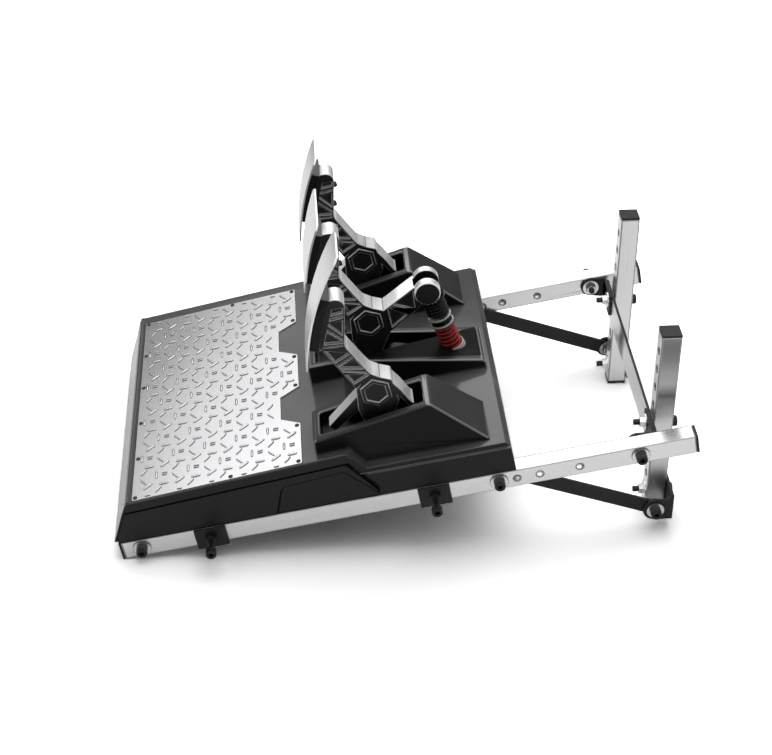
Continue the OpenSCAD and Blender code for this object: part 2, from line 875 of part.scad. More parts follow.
// Black pad between the face and the head of the arm
module pad_shape(f) {
  low = (pad_low - middle(f)[1]) / sin(lean(f));
  top = (pad_high - middle(f)[1]) / sin(lean(f));
  outer = bow(f) - face_t - 0.15;
  outline = [
    [-pad_half * 0.8, low - 6],
    [pad_half * 0.8, low - 6],
    [pad_half, low + 4],
    [pad_half, top + 1],
    [-pad_half, top + 1],
    [-pad_half, low + 4]
  ];
  face_frame(f) intersection() {
    yz(-pad_half - 1, pad_half + 1) intersection() {
      ring2d(f, outer, outer - pad_t);
      polygon([
        [low - 6, -8],
        [low - 6, 20],
        [top + 1, 20],
        [top - 2, -22],
        [low + 2, -22]
      ]);
    }
    translate([0, 0, -30]) linear_extrude(60) polygon(rounded(outline, 2, 3));
  }
}

// Side view of an arm, trimmed to the back of its pad
module arm2d(f) {
  intersection() {
    union() {
      polygon([neck_rear, elbow_rear, elbow_front, neck_front]);
      polygon([
        elbow_rear,
        head_rear,
        arm_head + [0, head_r],
        arm_head + [-34, head_r],
        elbow_front + [-12, 6],
        elbow_front
      ]);
      translate(arm_head) circle(r = head_r);
      polygon([at(1, 71), at(4.2, 65.4), at(7, 62.9), at(12.5, 58.9), hub]);
      polygon([elbow_rear + [2, -4], elbow_rear + [0.5, 0.5], elbow_rear + [0.9, 4.5], elbow_rear + [-8, 0]]);
      polygon(rounded([neck_rear, at(23.2, 53.6), at(26, 27), at(9, -2), at(-9, -2), at(-15, 25), neck_front], 3, 3));
      translate(pivot) circle(r = boss_r);
    }
    translate(bow_centre(f)) circle(r = bow(f) - face_t - pad_t - 0.3, $fn = 256);
  }
}

// Pockets as fractions along the rear and front edges, from the hub up; the narrow ones part two thin ribs
lower_pockets = [
  [0.06, 0.08, 0.1, 0.33],
  [0.125, 0.175, 0.415, 0.455],
  [0.27, 0.575, 0.49, 0.53],
  [0.645, 0.69, 0.55, 0.585],
  [0.76, 0.8, 0.64, 0.93]
];
upper_pockets = [
  [0, 0.03, 0.03, 0.06],
  [0.08, 0.11, 0.12, 0.39],
  [0.16, 0.2, 0.43, 0.47],
  [0.29, 0.68, 0.56, 0.6],
  [0.75, 0.81, 0.67, 0.73],
  [0.87, 1, 0.79, 0.93]
];
lever_pockets = [
  [0.1, 0.64, 0.1, 0.14],
  [0.73, 0.81, 0.18, 0.24],
  [0.87, 0.91, 0.3, 0.94]
];

// Cut from both sides of an arm
module from_sides() {
  both() yz(arm_half - pocket_depth, arm_half + 1) children();
}

module arm_pockets() {
  from_sides() {
    for (p = lower_pockets) pocket2d([neck_rear, elbow_rear, neck_front, elbow_front], p);
    for (p = upper_pockets) pocket2d([elbow_rear, head_rear, elbow_front, arm_head + [-4, 3]], p);
  }
}

module boss() {
  both() translate([arm_half - 0.5, hub[0], hub[1]]) rotate([0, 90, 0]) rotate(90 + hub_turn) difference() {
    cylinder(h = boss_out + 0.5, d = boss_d, $fn = 6);
    translate([0, 0, 0.5]) cylinder(h = 2, d = boss_d - boss_ring, $fn = 6);
  }
}

module arm_shape(f) {
  difference() {
    union() {
      yz(-arm_half, arm_half) arm2d(f);
      boss();
      children();
    }
    arm_pockets();
    along_x(-30, 30, pivot_y, pivot_z, pin_r + pin_gap);
  }
}

// Arm of an outer pedal, with its hook behind the hub and its return lever in front of it
module outer_arm(f) {
  arm_shape(f) {
    yz(-arm_half, arm_half) polygon([
      at(20, 50),
      at(24.2, 48.6),
      at(25.3, 46.3),
      at(27.2, 43.4),
      at(29.3, 40),
      at(31.4, 36),
      at(33.4, 31.6),
      at(35.1, 27.7),
      at(36.8, 24.5),
      at(38.1, 22.6),
      at(39.4, 21.6),
      at(39.2, 17.2),
      at(37, 17.4),
      at(34.6, 19.2),
      at(32, 23.5),
      at(29, 29),
      at(25, 34),
      at(20, 38)
    ]);
    yz(-lever_half, lever_half) bar2d(lever_root, lever_tip, 14, 8);
  }
}

module throttle_arm() {
  color("gray") inclined() translate([pedal_pitch, 0, 0]) outer_arm(throttle_face);
}

module throttle_pad() {
  color("black") inclined() translate([pedal_pitch, 0, 0]) pad_shape(throttle_face);
}

module throttle_plate() {
  color("silver") inclined() translate([pedal_pitch, 0, 0]) face_shape(throttle_face);
}

module clutch_arm() {
  color("gray") inclined() translate([-pedal_pitch, 0, 0]) outer_arm(clutch_face);
}

module clutch_pad() {
  color("black") inclined() translate([-pedal_pitch, 0, 0]) pad_shape(clutch_face);
}

module clutch_plate() {
  color("silver") inclined() translate([-pedal_pitch, 0, 0]) face_shape(clutch_face);
}

// Brake arm: the same beam with a lever behind it that ends in two thick ears and presses the stack
lever_top = [at(23.2, 53.6), at(57.5, 73.6)];
lever_under = [at(26, 27), at(59.3, 48.7)];
ear_edge = 1.3;
module ear() {
  translate([fork_half - ear_t, clevis[0], clevis[1]]) rotate([0, 90, 0]) {
    cylinder(h = ear_t - ear_edge, r = ear_r);
    translate([0, 0, ear_t - ear_edge]) cylinder(h = ear_edge, r1 = ear_r, r2 = ear_r - ear_edge);
  }
}

module brake_arm() {
  color("gray") inclined() difference() {
    arm_shape(brake_face) {
      yz(-arm_half, arm_half)
        polygon([lever_top[0], lever_top[1], clevis + [-5, 6], clevis + [-5, -10], lever_under[1], lever_under[0], hub]);
      both() ear();
    }
    yz(-fork_half + ear_t, fork_half - ear_t) {
      translate(clevis) circle(r = ear_r + 1);
      translate(clevis + [-8, -16]) square([40, 16]);
    }
    from_sides() for (p = lever_pockets) pocket2d([lever_under[0], lever_under[1], lever_top[0], lever_top[1]], p);
    along_x(-fork_half + 3, fork_half - 3, clevis[0], clevis[1], pin_r);
    in_stack_plane() cylinder(h = head_seat + 3.2, r = flange_r + 0.5);
  }
}

module brake_pad() {
  color("black") inclined() pad_shape(brake_face);
}

module brake_plate() {
  color("silver") inclined() face_shape(brake_face);
}

// Brake stack

module in_stack_plane() {
  translate([0, stack_foot[0], stack_foot[1]]) rotate([stack_lean, 0, 0]) children();
}

module in_stack() {
  inclined() in_stack_plane() children();
}

// A sleeve with round turns, as a closed spring looks
module turns(h, r, core, pitch) {
  n = max(2, round(h / pitch));
  p = h / n;
  difference() {
    cylinder(h = h, r = r - p * 0.35);
    translate([0, 0, -1]) cylinder(h = h + 2, r = core);
  }
  for (i = [0:n - 1]) translate([0, 0, (i + 0.5) * p])
    rotate_extrude() translate([r - p * 0.45, 0]) circle(r = p * 0.42, $fn = 16);
}

// Eye round the clevis pin with the flange over the top spring
flange_r = black_r + 2;
module stack_head() {
  color("silver") {
    in_stack() difference() {
      union() {
        translate([0, 0, head_seat]) cylinder(h = 3, r = flange_r);
        translate([0, 0, head_seat]) cylinder(h = stack_length - head_seat, r = 6);
        translate([-fork_half + ear_t + 0.5, 0, stack_length]) rotate([0, 90, 0])
          cylinder(h = 2 * (fork_half - ear_t - 0.5), r = 8);
      }
      translate([-20, 0, stack_length]) rotate([0, 90, 0]) cylinder(h = 40, r = pin_r + slack);
    }
    inclined() along_x(-fork_half + 3.5, fork_half - 3.5, clevis[0], clevis[1], pin_r - slack / 2);
  }
}

red_foot = 4;
red_top = red_foot + red_h;
spacer_top = red_top + spacer_h;

spacer_t = 2;
module sleeve(h, r) {
  difference() {
    cylinder(h = h, r = r);
    translate([0, 0, -1]) cylinder(h = h + 2, r = rod_r + 0.5);
  }
}

// The springs over the spacers, and the collar between the two spacers
module black_springs() {
  color([0.08, 0.08, 0.08]) in_stack() {
    translate([0, 0, spacer_top]) turns(head_seat - spacer_top - seat, black_r, rod_r + 0.5, 4.2);
    translate([0, 0, red_top + spacer_t + slack]) sleeve(spacer_h - 2 * spacer_t - 2 * slack, black_r - 0.5);
  }
}

module pale_spacers() {
  color([0.8, 0.8, 0.8]) in_stack() {
    translate([0, 0, red_top]) sleeve(spacer_t, spacer_r);
    translate([0, 0, spacer_top - spacer_t]) sleeve(spacer_t - slack, spacer_r);
  }
}

module red_springs() {
  color("red") in_stack() translate([0, 0, red_foot]) turns(red_h - seat, red_r, rod_r + 0.5, 5.8);
}

module spring_cup() {
  color([0.82, 0.82, 0.8]) difference() {
    in_stack() difference() {
      union() {
        translate([0, 0, -10]) cylinder(h = 10, r = cup_r);
        cylinder(h = cup_h, r1 = cup_r, r2 = red_r + 1.8);
      }
      translate([0, 0, red_foot]) cylinder(h = cup_h, r = red_r + 0.7);
    }
    inclined() translate([-50, 300, deck_z + trough_floor - 40 + slack / 2]) cube([100, 100, 40]);
  }
}

// Guide rod that stands in the cup, and the sensing beam under it
module guide_rod() {
  color("silver") in_stack() translate([0, 0, red_foot]) cylinder(h = red_h + spacer_h - red_foot, r = rod_r);
}

beam_half = 5;
module sensing_beam() {
  beam_z = deck_z + trough_floor;
  color([0.2, 0.2, 0.2]) inclined() difference() {
    yz(-beam_half, beam_half) polygon([
      [stack_foot[0] - 70, beam_z],
      [stack_foot[0] - 69.5, beam_z + 17],
      [stack_foot[0] - 68.5, beam_z + 20.5],
      [stack_foot[0] - 66, beam_z + 22.8],
      [stack_foot[0] - 61, beam_z + 23.6],
      [stack_foot[0] - 54, beam_z + 21.6],
      [stack_foot[0] - 43, beam_z + 16.6],
      [stack_foot[0] - 33, beam_z + 11.8],
      [stack_foot[0] - 24, beam_z + 9],
      [stack_foot[0] - 15, beam_z + 8],
      [stack_foot[0], beam_z + 7],
      [stack_foot[0], beam_z]
    ]);
    in_stack_plane() translate([0, 0, -10]) cylinder(h = 60, r = cup_r + 1.2);
  }
}

rail_right();
rail_left();
rail_caps();
post_right();
post_left();
post_caps();
crossbar();
upper_bracket_right();
upper_bracket_left();
lower_bracket_right();
lower_bracket_left();
brace_right();
brace_left();
rail_screws();
rail_washers();
foot_screws();
foot_washers();
post_bolts();
post_nuts();
rail_clamps();
clamp_screws();
deck();
side_panel_right();
side_panel_left();
heel_plate();
throttle_housing();
clutch_housing();
brake_trough();
pivot_pins();
throttle_arm();
throttle_pad();
throttle_plate();
clutch_arm();
clutch_pad();
clutch_plate();
brake_arm();
brake_pad();
brake_plate();
stack_head();
black_springs();
pale_spacers();
red_springs();
spring_cup();
guide_rod();
sensing_beam();
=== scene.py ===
"""The looks of a three-pedal set on a tube stand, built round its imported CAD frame."""

import json
import math

import bmesh
import bpy
from bpy.props import FloatProperty, FloatVectorProperty, IntProperty, PointerProperty
from mathutils import Matrix, Vector

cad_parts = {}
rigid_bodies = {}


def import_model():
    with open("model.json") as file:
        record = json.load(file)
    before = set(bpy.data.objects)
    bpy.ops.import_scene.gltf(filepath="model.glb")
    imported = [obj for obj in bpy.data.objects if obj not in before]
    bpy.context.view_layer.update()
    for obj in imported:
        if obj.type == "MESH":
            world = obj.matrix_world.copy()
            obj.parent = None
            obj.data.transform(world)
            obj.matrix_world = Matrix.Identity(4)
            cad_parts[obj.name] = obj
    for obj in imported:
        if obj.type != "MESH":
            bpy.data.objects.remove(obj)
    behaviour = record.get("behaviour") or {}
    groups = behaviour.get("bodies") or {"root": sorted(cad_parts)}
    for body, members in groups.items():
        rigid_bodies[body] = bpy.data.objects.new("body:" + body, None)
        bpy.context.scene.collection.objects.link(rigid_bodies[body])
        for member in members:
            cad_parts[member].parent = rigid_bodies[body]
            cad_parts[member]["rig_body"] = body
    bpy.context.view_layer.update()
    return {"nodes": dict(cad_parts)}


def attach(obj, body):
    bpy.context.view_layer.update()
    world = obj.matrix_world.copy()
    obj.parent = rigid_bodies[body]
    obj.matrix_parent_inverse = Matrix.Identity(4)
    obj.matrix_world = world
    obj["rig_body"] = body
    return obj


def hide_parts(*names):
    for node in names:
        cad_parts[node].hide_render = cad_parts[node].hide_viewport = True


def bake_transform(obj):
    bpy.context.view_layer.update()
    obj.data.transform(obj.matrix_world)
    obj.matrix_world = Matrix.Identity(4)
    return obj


bl_info = {
    "name": "Pedal Stand",
    "version": (1, 0, 0),
    "blender": (4, 5, 0),
    "location": "View3D > Sidebar > Pedal Stand",
    "description": "Dresses a three-pedal set on a tube stand with edges, screws, springs and finishes",
    "category": "Object",
}

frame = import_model()
NODES = frame["nodes"]

# The CAD's own frame: sizes in millimetres, as its source names them
INCLINE = math.radians(10.5)
RAIL_LENGTH = 585.0
BASE_BOTTOM = 20.3
CENTRE_Y = ((RAIL_LENGTH - 4) * math.cos(INCLINE) - BASE_BOTTOM * math.sin(INCLINE)) / 2
HALF_WIDTH = 168.0
TUBE = 20.0
PLATE = 3.0
PITCH = 123.5
POST_Y = RAIL_LENGTH * math.cos(INCLINE) - 38.7
POST_MID = 115.0
POST_STEP = 21.5
HEEL_FRONT, WEDGE_Z, WEDGE_RISE = 25.0, 68.2, math.radians(2.6)
HEEL_SUNK, HEEL_HALF, HEEL_LENGTH = 3.8, 160.0, 174.0
NOTCH_IN, NOTCH_OUT, NOTCH_DEPTH, NOTCH_SLANT = 42.5, 81.0, 20.0, 13.0
PIVOT = (278.0, 79.0)
HEAD_D, HEAD_H, WASHER_T = 10.5, 8.0, 1.5
SHORT_HEAD = HEAD_H * 0.7
RAIL_MID = 10.0
FRONT_HOLE, BRACE_HOLE, BRACKET_HOLE = 22.0, 385.0, 527.0
CLAMP_HOLES, CLAMP_REACH = (93.0, 320.0), 28.0
BOLT_LOW, BOLT_HIGH = POST_STEP, 5 * POST_STEP
FOOT_IN = 4.5
STACK_FOOT, CLEVIS = (365.0, 59.0), (349.0, 145.5)
STACK_LEAN = math.atan2(STACK_FOOT[0] - CLEVIS[0], CLEVIS[1] - STACK_FOOT[1])
RED_SPAN, BLACK_SPAN, COLLAR_SPAN = (4.0, 39.0), (49.5, 70.7), (41.1, 47.4)
SPACER_SPANS = ((39.0, 41.0), (47.5, 49.4))
FLANGE = 71.0
RED_RADIUS, BLACK_RADIUS, COLLAR_RADIUS, SPACER_RADIUS = 11.0, 12.0, 11.5, 12.5
HEEL_SCREWS = ((3.6, (32.1, 93.1, 156.4)), (101.5, (156.6,)), (170.4, (26.4, 97, 156.3)))
ARM_SCREWS = ((-7.2, 134.5), (-11.9, 112.0))
ARM_LEAN = math.atan2(8.8, 42.0)

# The photo's camera, fitted to the corners of the tubes, in metres and radians
CAMERA_AT = (1.54633, -0.10909, 1.17437)
CAMERA_TURN, CAMERA_RISE = math.radians(86.28), math.radians(34.90)
CAMERA_LENS, SENSOR = 83.12, 36.0
LAMPS_AIM = (0, 0, 0.08)

# Faces that meet at more than this are parted by a sharp edge
SHARP = math.radians(35)
COAT_ROUGHNESS = 0.12

# Ways of brushing: which axes of object space it runs along, and its turn about X
ACROSS, UPWARDS = (True, False, False, 0), (False, False, True, 0)
ALONG_RAILS = (False, True, False, -INCLINE)


def moved(x, y, z):
    """A move in millimetres, as a matrix in metres."""
    return Matrix.Translation(Vector((x, y, z)) / 1000)


ON_FLOOR = moved(0, -CENTRE_Y, 0)
ON_RAILS = ON_FLOOR @ Matrix.Rotation(INCLINE, 4, "X")
ON_HEEL = ON_RAILS @ moved(0, HEEL_FRONT, WEDGE_Z) @ Matrix.Rotation(WEDGE_RISE, 4, "X") @ moved(
    0, 0, -HEEL_SUNK
)
IN_STACK = ON_RAILS @ moved(0, *STACK_FOOT) @ Matrix.Rotation(STACK_LEAN, 4, "X")


class Value:
    """A socket of a shader's node, with the sums that shader maths needs."""

    def __init__(self, finish, socket):
        self.finish, self.socket = finish, socket

    def _maths(self, operation, a, b=0.0):
        return self.finish.node("ShaderNodeMath", {"operation": operation}, {0: a, 1: b})

    def __add__(self, other):
        return self._maths("ADD", self, other)

    def __radd__(self, other):
        return self._maths("ADD", other, self)

    def __sub__(self, other):
        return self._maths("SUBTRACT", self, other)

    def __mul__(self, other):
        return self._maths("MULTIPLY", self, other)

    def __truediv__(self, other):
        return self._maths("DIVIDE", self, other)

    def power(self, other):
        return self._maths("POWER", self, other)

    def greatest(self, other):
        return self._maths("MAXIMUM", self, other)

    def clamped(self):
        return self.finish.node("ShaderNodeClamp", {}, {0: self})


class Finish:
    """A material or a world under construction. Every node in it comes from node()."""

    def __init__(self, name, owner=None):
        self.owner = owner or bpy.data.materials.new(name)
        self.owner.use_nodes = True
        self.tree = self.owner.node_tree
        self.tree.nodes.clear()
        self.place = self.coordinates("Object")

    def node(self, kind, settings=None, values=None, out=0):
        """A new node: its settings first, then its sockets' values or links. Returns one output, if any."""
        made = self.tree.nodes.new(kind)
        for name, setting in (settings or {}).items():
            if name == "stops":
                ramp = made.color_ramp
                for i, (at, grey) in enumerate(setting):
                    stop = ramp.elements[i] if i < 2 else ramp.elements.new(at)
                    stop.position = at
                    stop.color = (grey, grey, grey, 1) if isinstance(grey, (int, float)) else (*grey, 1)
            else:
                setattr(made, name, setting)
        for key, value in (values or {}).items():
            if isinstance(value, Value):
                self.tree.links.new(value.socket, made.inputs[key])
            else:
                made.inputs[key].default_value = value
        return Value(self, made.outputs[out]) if made.outputs else None

    def coordinates(self, kind):
        return self.node("ShaderNodeTexCoord", out=kind)

    def rays(self):
        """Three values that are 1 on camera, glossy and transmission rays."""
        kinds = ("Camera", "Glossy", "Transmission")
        return [self.node("ShaderNodeLightPath", out="Is %s Ray" % kind) for kind in kinds]

    def noise(self, scale, detail=3.0, stretch=(1, 1, 1), turn=(0, 0, 0), roughness=0.55):
        """Noise over object space: scale in features a metre, stretched along the axes."""
        at = self.node("ShaderNodeMapping", {}, {"Vector": self.place, "Rotation": turn, "Scale": stretch})
        return self.node(
            "ShaderNodeTexNoise",
            {},
            {"Vector": at, "Scale": scale, "Detail": detail, "Roughness": roughness},
        )

    def coordinate(self, axis, start, end):
        """Object space along one axis, as 0 at start and 1 at end."""
        return (self.node("ShaderNodeSeparateXYZ", {}, {0: self.place}, out=axis) - start) / (end - start)

    def facing(self, direction):
        """How far the surface faces a direction of object space: 1 when it does."""
        return self.dot(self.coordinates("Normal"), direction)

    def dot(self, vector, direction):
        return self.node(
            "ShaderNodeVectorMath", {"operation": "DOT_PRODUCT"}, {0: vector, 1: direction}, out="Value"
        )

    def ramp(self, value, *stops):
        return self.node("ShaderNodeValToRGB", {"stops": stops}, {0: value})

    def mix(self, share, a, b):
        """A colour between a and b."""
        a = (*a, 1) if isinstance(a, tuple) and len(a) == 3 else a
        b = (*b, 1) if isinstance(b, tuple) and len(b) == 3 else b
        return self.node("ShaderNodeMix", {"data_type": "RGBA"}, {0: share, 6: a, 7: b}, out=2)

    def bump(self, height, strength, distance):
        return self.node(
            "ShaderNodeBump", {}, {"Height": height, "Strength": strength, "Distance": distance}
        )

    def finish(self, **sockets):
        """Ends the material in a Principled shader: the keys are its sockets, with _ for a space."""
        values = {key.replace("_", " "): value for key, value in sockets.items()}
        return self.ended(self.node("ShaderNodeBsdfPrincipled", {}, values))

    def ended(self, shader, kind="Material"):
        """Ends the tree in a shader, and returns the material or world that it is for."""
        self.node("ShaderNodeOutput" + kind, {}, {"Surface": shader})
        return self.owner


def shade(colour, share):
    """A colour times a share of it, at most white."""
    return tuple(min(1, c * share) for c in colour)


def brushed_metal(name, colour, roughness, along, grain=0.35, wear=0.06, painted_shade=None):
    """Metal brushed along one direction of object space: long streaks in its colour, roughness and height.

    painted_shade gives the share of its colour that is left where shade and dark reflections are painted, as
    a value of the finish.
    """
    f = Finish(name)
    squeeze = tuple(1.0 if c else 60.0 for c in along[:3])
    streaks = f.noise(26, 6, squeeze, (along[3], 0, 0))
    clouds = f.noise(9, 3)
    tone = f.mix(f.ramp(streaks, (0.3, 0), (0.7, 1)), shade(colour, 1 - wear), colour)
    tone = f.mix(f.ramp(clouds, (0.35, 0), (0.75, 1)) * 0.35, tone, shade(colour, 1 - 2 * wear))
    # Painted shade and painted dark reflections darken the colour here.
    if painted_shade:
        tone = f.node(
            "ShaderNodeMix",
            {"data_type": "RGBA", "blend_type": "MULTIPLY"},
            {0: 1.0, 6: tone, 7: painted_shade(f)},
            out=2,
        )
    rough = roughness + (streaks - 0.5) * (grain * 0.5) + (clouds - 0.5) * 0.12
    return f.finish(
        Base_Color=tone,
        Metallic=1.0,
        Roughness=rough.clamped(),
        Normal=f.bump(streaks, grain, 0.00012),
    )


def plain_metal(name, colour, roughness, metallic=1.0, spots=0.1):
    """Plated or cast metal: soft clouds in tone and roughness, and a very fine grain."""
    f = Finish(name)
    clouds = f.noise(45, 4)
    fine = f.noise(1400, 2)
    tone = f.mix(f.ramp(clouds, (0.3, 0), (0.7, 1)), shade(colour, 1 - spots), colour)
    rough = roughness + (clouds - 0.5) * 0.18
    return f.finish(
        Base_Color=tone, Metallic=metallic, Roughness=rough.clamped(), Normal=f.bump(fine, 0.12, 0.0001)
    )


def moulded(name, colour, roughness, grain=0.25, grain_scale=1900, coat=0.0, shine=0.5, sheen_rough=0.08):
    """Moulded plastic or powder coat: an even colour, a fine eroded grain and faint handling marks."""
    f = Finish(name)
    fine = f.noise(grain_scale, 2)
    marks = f.noise(18, 5)
    tone = f.mix(f.ramp(marks, (0.35, 0), (0.7, 1)), shade(colour, 0.86), shade(colour, 1.12))
    rough = roughness + (marks - 0.5) * sheen_rough + (fine - 0.5) * 0.06
    return f.finish(
        Base_Color=tone,
        Roughness=rough.clamped(),
        Specular_IOR_Level=shine,
        Coat_Weight=coat,
        Coat_Roughness=COAT_ROUGHNESS,
        Normal=f.bump(fine, grain, 0.00015),
    )


def dress(node, *materials):
    """A CAD node that stays as it is gets its materials."""
    mesh = NODES[node].data
    mesh.materials.clear()
    for material in materials:
        mesh.materials.append(material)


def merged(node, flat=0.6):
    """A copy of a CAD node's mesh, its doubles merged and its flat faces whole again, as bmesh."""
    made = bmesh.new()
    made.from_mesh(NODES[node].data)
    bmesh.ops.remove_doubles(made, verts=made.verts, dist=2e-6)
    bmesh.ops.dissolve_limit(made, angle_limit=math.radians(flat), verts=made.verts, edges=made.edges)
    for face in made.faces:
        face.smooth = True
    return made


def mesh_from(made, name, *materials):
    """The mesh of a finished bmesh."""
    mesh = bpy.data.meshes.new(name)
    made.to_mesh(mesh)
    made.free()
    for material in materials:
        mesh.materials.append(material)
    return mesh


def placed(mesh, name, body, blend=None):
    """A finished mesh as a piece that rides on a body, or, given blend, one whose place is baked into its
    mesh.
    """
    piece = bpy.data.objects.new(name, mesh)
    bpy.context.scene.collection.objects.link(piece)
    if blend:
        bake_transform(piece)
    else:
        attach(piece, body)
    return piece


def eased(node, width, materials, segments=2, paint=None, edge_material=-1, angle=28):
    """A copy of a CAD node with its sharp edges eased, which stands for it. paint picks a face's material."""
    made = merged(node)
    for face in made.faces:
        face.material_index = paint(face.normal) if paint else 0
    name = node + "_eased"
    mesh = mesh_from(made, name, *materials)
    mesh.set_sharp_from_angle(angle=SHARP)
    piece = placed(mesh, name, NODES[node]["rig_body"])
    ease = piece.modifiers.new("ease", "BEVEL")
    ease.width = width / 1000
    ease.segments = segments
    ease.limit_method = "ANGLE"
    ease.angle_limit = math.radians(angle)
    ease.use_clamp_overlap = False
    ease.harden_normals = True
    ease.material = edge_material
    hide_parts(node)
    return piece


class Tree:
    """A Geometry Nodes tree under construction. Every node in it comes from node()."""

    def __init__(self, name, **inputs):
        self.tree = bpy.data.node_groups.new(name, "GeometryNodeTree")
        sockets = self.tree.interface
        sockets.new_socket("Geometry", in_out="INPUT", socket_type="NodeSocketGeometry")
        for key, kind in inputs.items():
            sockets.new_socket(key, in_out="INPUT", socket_type="NodeSocket" + kind)
        sockets.new_socket("Geometry", in_out="OUTPUT", socket_type="NodeSocketGeometry")
        self.entry = self.tree.nodes.new("NodeGroupInput").outputs

    def node(self, kind, settings=None, values=None, out=0):
        """A new node: its settings first, then the values or links of its sockets. Returns one output."""
        made = self.tree.nodes.new(kind)
        for name, setting in (settings or {}).items():
            setattr(made, name, setting)
        for key, value in (values or {}).items():
            if isinstance(value, bpy.types.NodeSocket):
                self.tree.links.new(value, made.inputs[key])
            else:
                made.inputs[key].default_value = value
        return made.outputs[out] if made.outputs else None

    def attribute(self, kind, name):
        return self.node("GeometryNodeInputNamedAttribute", {"data_type": kind}, {"Name": name})

    def copies(self, thing, size):
        """A copy of a thing at each seed, turned as the seed's attribute says."""
        turn = self.attribute("FLOAT_VECTOR", "turn")
        places = {"Points": self.entry["Geometry"], "Instance": thing, "Rotation": turn, "Scale": size}
        return self.node("GeometryNodeInstanceOnPoints", {}, places)

    def end(self, geometry):
        """Makes the instances real and gives them the tree's Material."""
        whole = self.node("GeometryNodeRealizeInstances", {}, {"Geometry": geometry})
        finish = self.entry["Material"]
        dressed = self.node("GeometryNodeSetMaterial", {}, {"Geometry": whole, "Material": finish})
        self.node("NodeGroupOutput", {}, {0: dressed})
        return self.tree

    @classmethod
    def of_dashes(cls):
        """A raised dash at each seed: a rounded bar, turned and as long as the seed's attributes say."""
        t = cls("raised dashes", Width="Float", Height="Float", Material="Material")
        bar = t.node("GeometryNodeMeshCube", {}, {"Size": (1, 1, 1), "Vertices X": 4})
        bar = t.node("GeometryNodeSubdivisionSurface", {}, {"Mesh": bar, "Level": 1})
        bar = t.node("GeometryNodeSetShadeSmooth", {}, {"Geometry": bar})
        long, slim = t.attribute("FLOAT", "long"), t.attribute("FLOAT", "slim")
        width = t.node("ShaderNodeMath", {"operation": "MULTIPLY"}, {0: t.entry["Width"], 1: slim})
        size = t.node("ShaderNodeCombineXYZ", {}, {0: long, 1: width, 2: t.entry["Height"]})
        return t.end(t.copies(bar, size))

    @classmethod
    def of_items(cls):
        """One item at each seed, turned as the seed's attribute says and sized by Scale."""
        t = cls("items at their places", Item="Object", Scale="Float", Material="Material")
        item = t.node("GeometryNodeObjectInfo", {}, {"Object": t.entry["Item"]}, "Geometry")
        size = t.node("ShaderNodeCombineXYZ", {}, {k: t.entry["Scale"] for k in range(3)})
        return t.end(t.copies(item, size))

    @classmethod
    def of_wire(cls):
        """Round wire of radius Wire along the seeds' edges."""
        t = cls("round wire", Wire="Float", Sides="Int", Material="Material")
        path = t.node("GeometryNodeMeshToCurve", {}, {"Mesh": t.entry["Geometry"]})
        round_wire = {"Resolution": t.entry["Sides"], "Radius": t.entry["Wire"]}
        ring = t.node("GeometryNodeCurvePrimitiveCircle", {}, round_wire)
        wire = t.node(
            "GeometryNodeCurveToMesh", {}, {"Curve": path, "Profile Curve": ring, "Fill Caps": True}
        )
        return t.end(t.node("GeometryNodeSetShadeSmooth", {}, {"Geometry": wire}))


def grown(name, points, tree, **settings):
    """The plain mesh that a Geometry Nodes tree makes of a mesh of seeds."""
    holder = bpy.data.objects.new(name + "_seeds", points)
    bpy.context.scene.collection.objects.link(holder)
    modifier = holder.modifiers.new("grow", "NODES")
    modifier.node_group = tree
    for socket in tree.interface.items_tree:
        if socket.in_out == "INPUT" and socket.name in settings:
            modifier[socket.identifier] = settings[socket.name]
    holder.update_tag()
    bpy.context.view_layer.update()
    mesh = bpy.data.meshes.new_from_object(holder.evaluated_get(bpy.context.evaluated_depsgraph_get()))
    mesh.name = name
    mesh.materials.clear()
    mesh.materials.append(settings["Material"])
    bpy.data.objects.remove(holder)
    if not mesh.polygons:
        raise RuntimeError(name + " came out empty")
    return mesh


def seeds(places, **attributes):
    """A mesh of points at the places, matrices in metres, with the turn of each and more numbers."""
    mesh = bpy.data.meshes.new("seeds")
    mesh.from_pydata([place.translation for place in places], [], [])
    turn = mesh.attributes.new("turn", "FLOAT_VECTOR", "POINT")
    turn.data.foreach_set("vector", [angle for place in places for angle in place.to_euler("XYZ")])
    for name, values in attributes.items():
        mesh.attributes.new(name, "FLOAT", "POINT").data.foreach_set("value", values)
    return mesh


def turned(profile, steps=48):
    """A closed profile of (radius, height) in millimetres, turned round the Z axis, as bmesh."""
    made = bmesh.new()
    rings = []
    for radius, height in profile:
        rings.append(
            [
                made.verts.new((radius * math.cos(a) / 1000, radius * math.sin(a) / 1000, height / 1000))
                for a in (2 * math.pi * k / steps for k in range(steps))
            ]
        )
    for low, high in zip(rings, rings[1:] + rings[:1]):
        for k in range(steps):
            made.faces.new((low[k], low[(k + 1) % steps], high[(k + 1) % steps], high[k]))
    bmesh.ops.recalc_face_normals(made, faces=made.faces)
    for face in made.faces:
        face.smooth = True
    return made


def item_from(made, name):
    """A loose item for the instances of a tree: linked nowhere, so it doesn't show by itself."""
    return bpy.data.objects.new(name, mesh_from(made, name))


def length(name, description, default):
    """A setting for a length in metres."""
    return FloatProperty(name=name, description=description, default=default, unit="LENGTH")


def tint(name, description, *rgb):
    """A setting for a colour."""
    return FloatVectorProperty(name=name, description=description, default=rgb, subtype="COLOR")


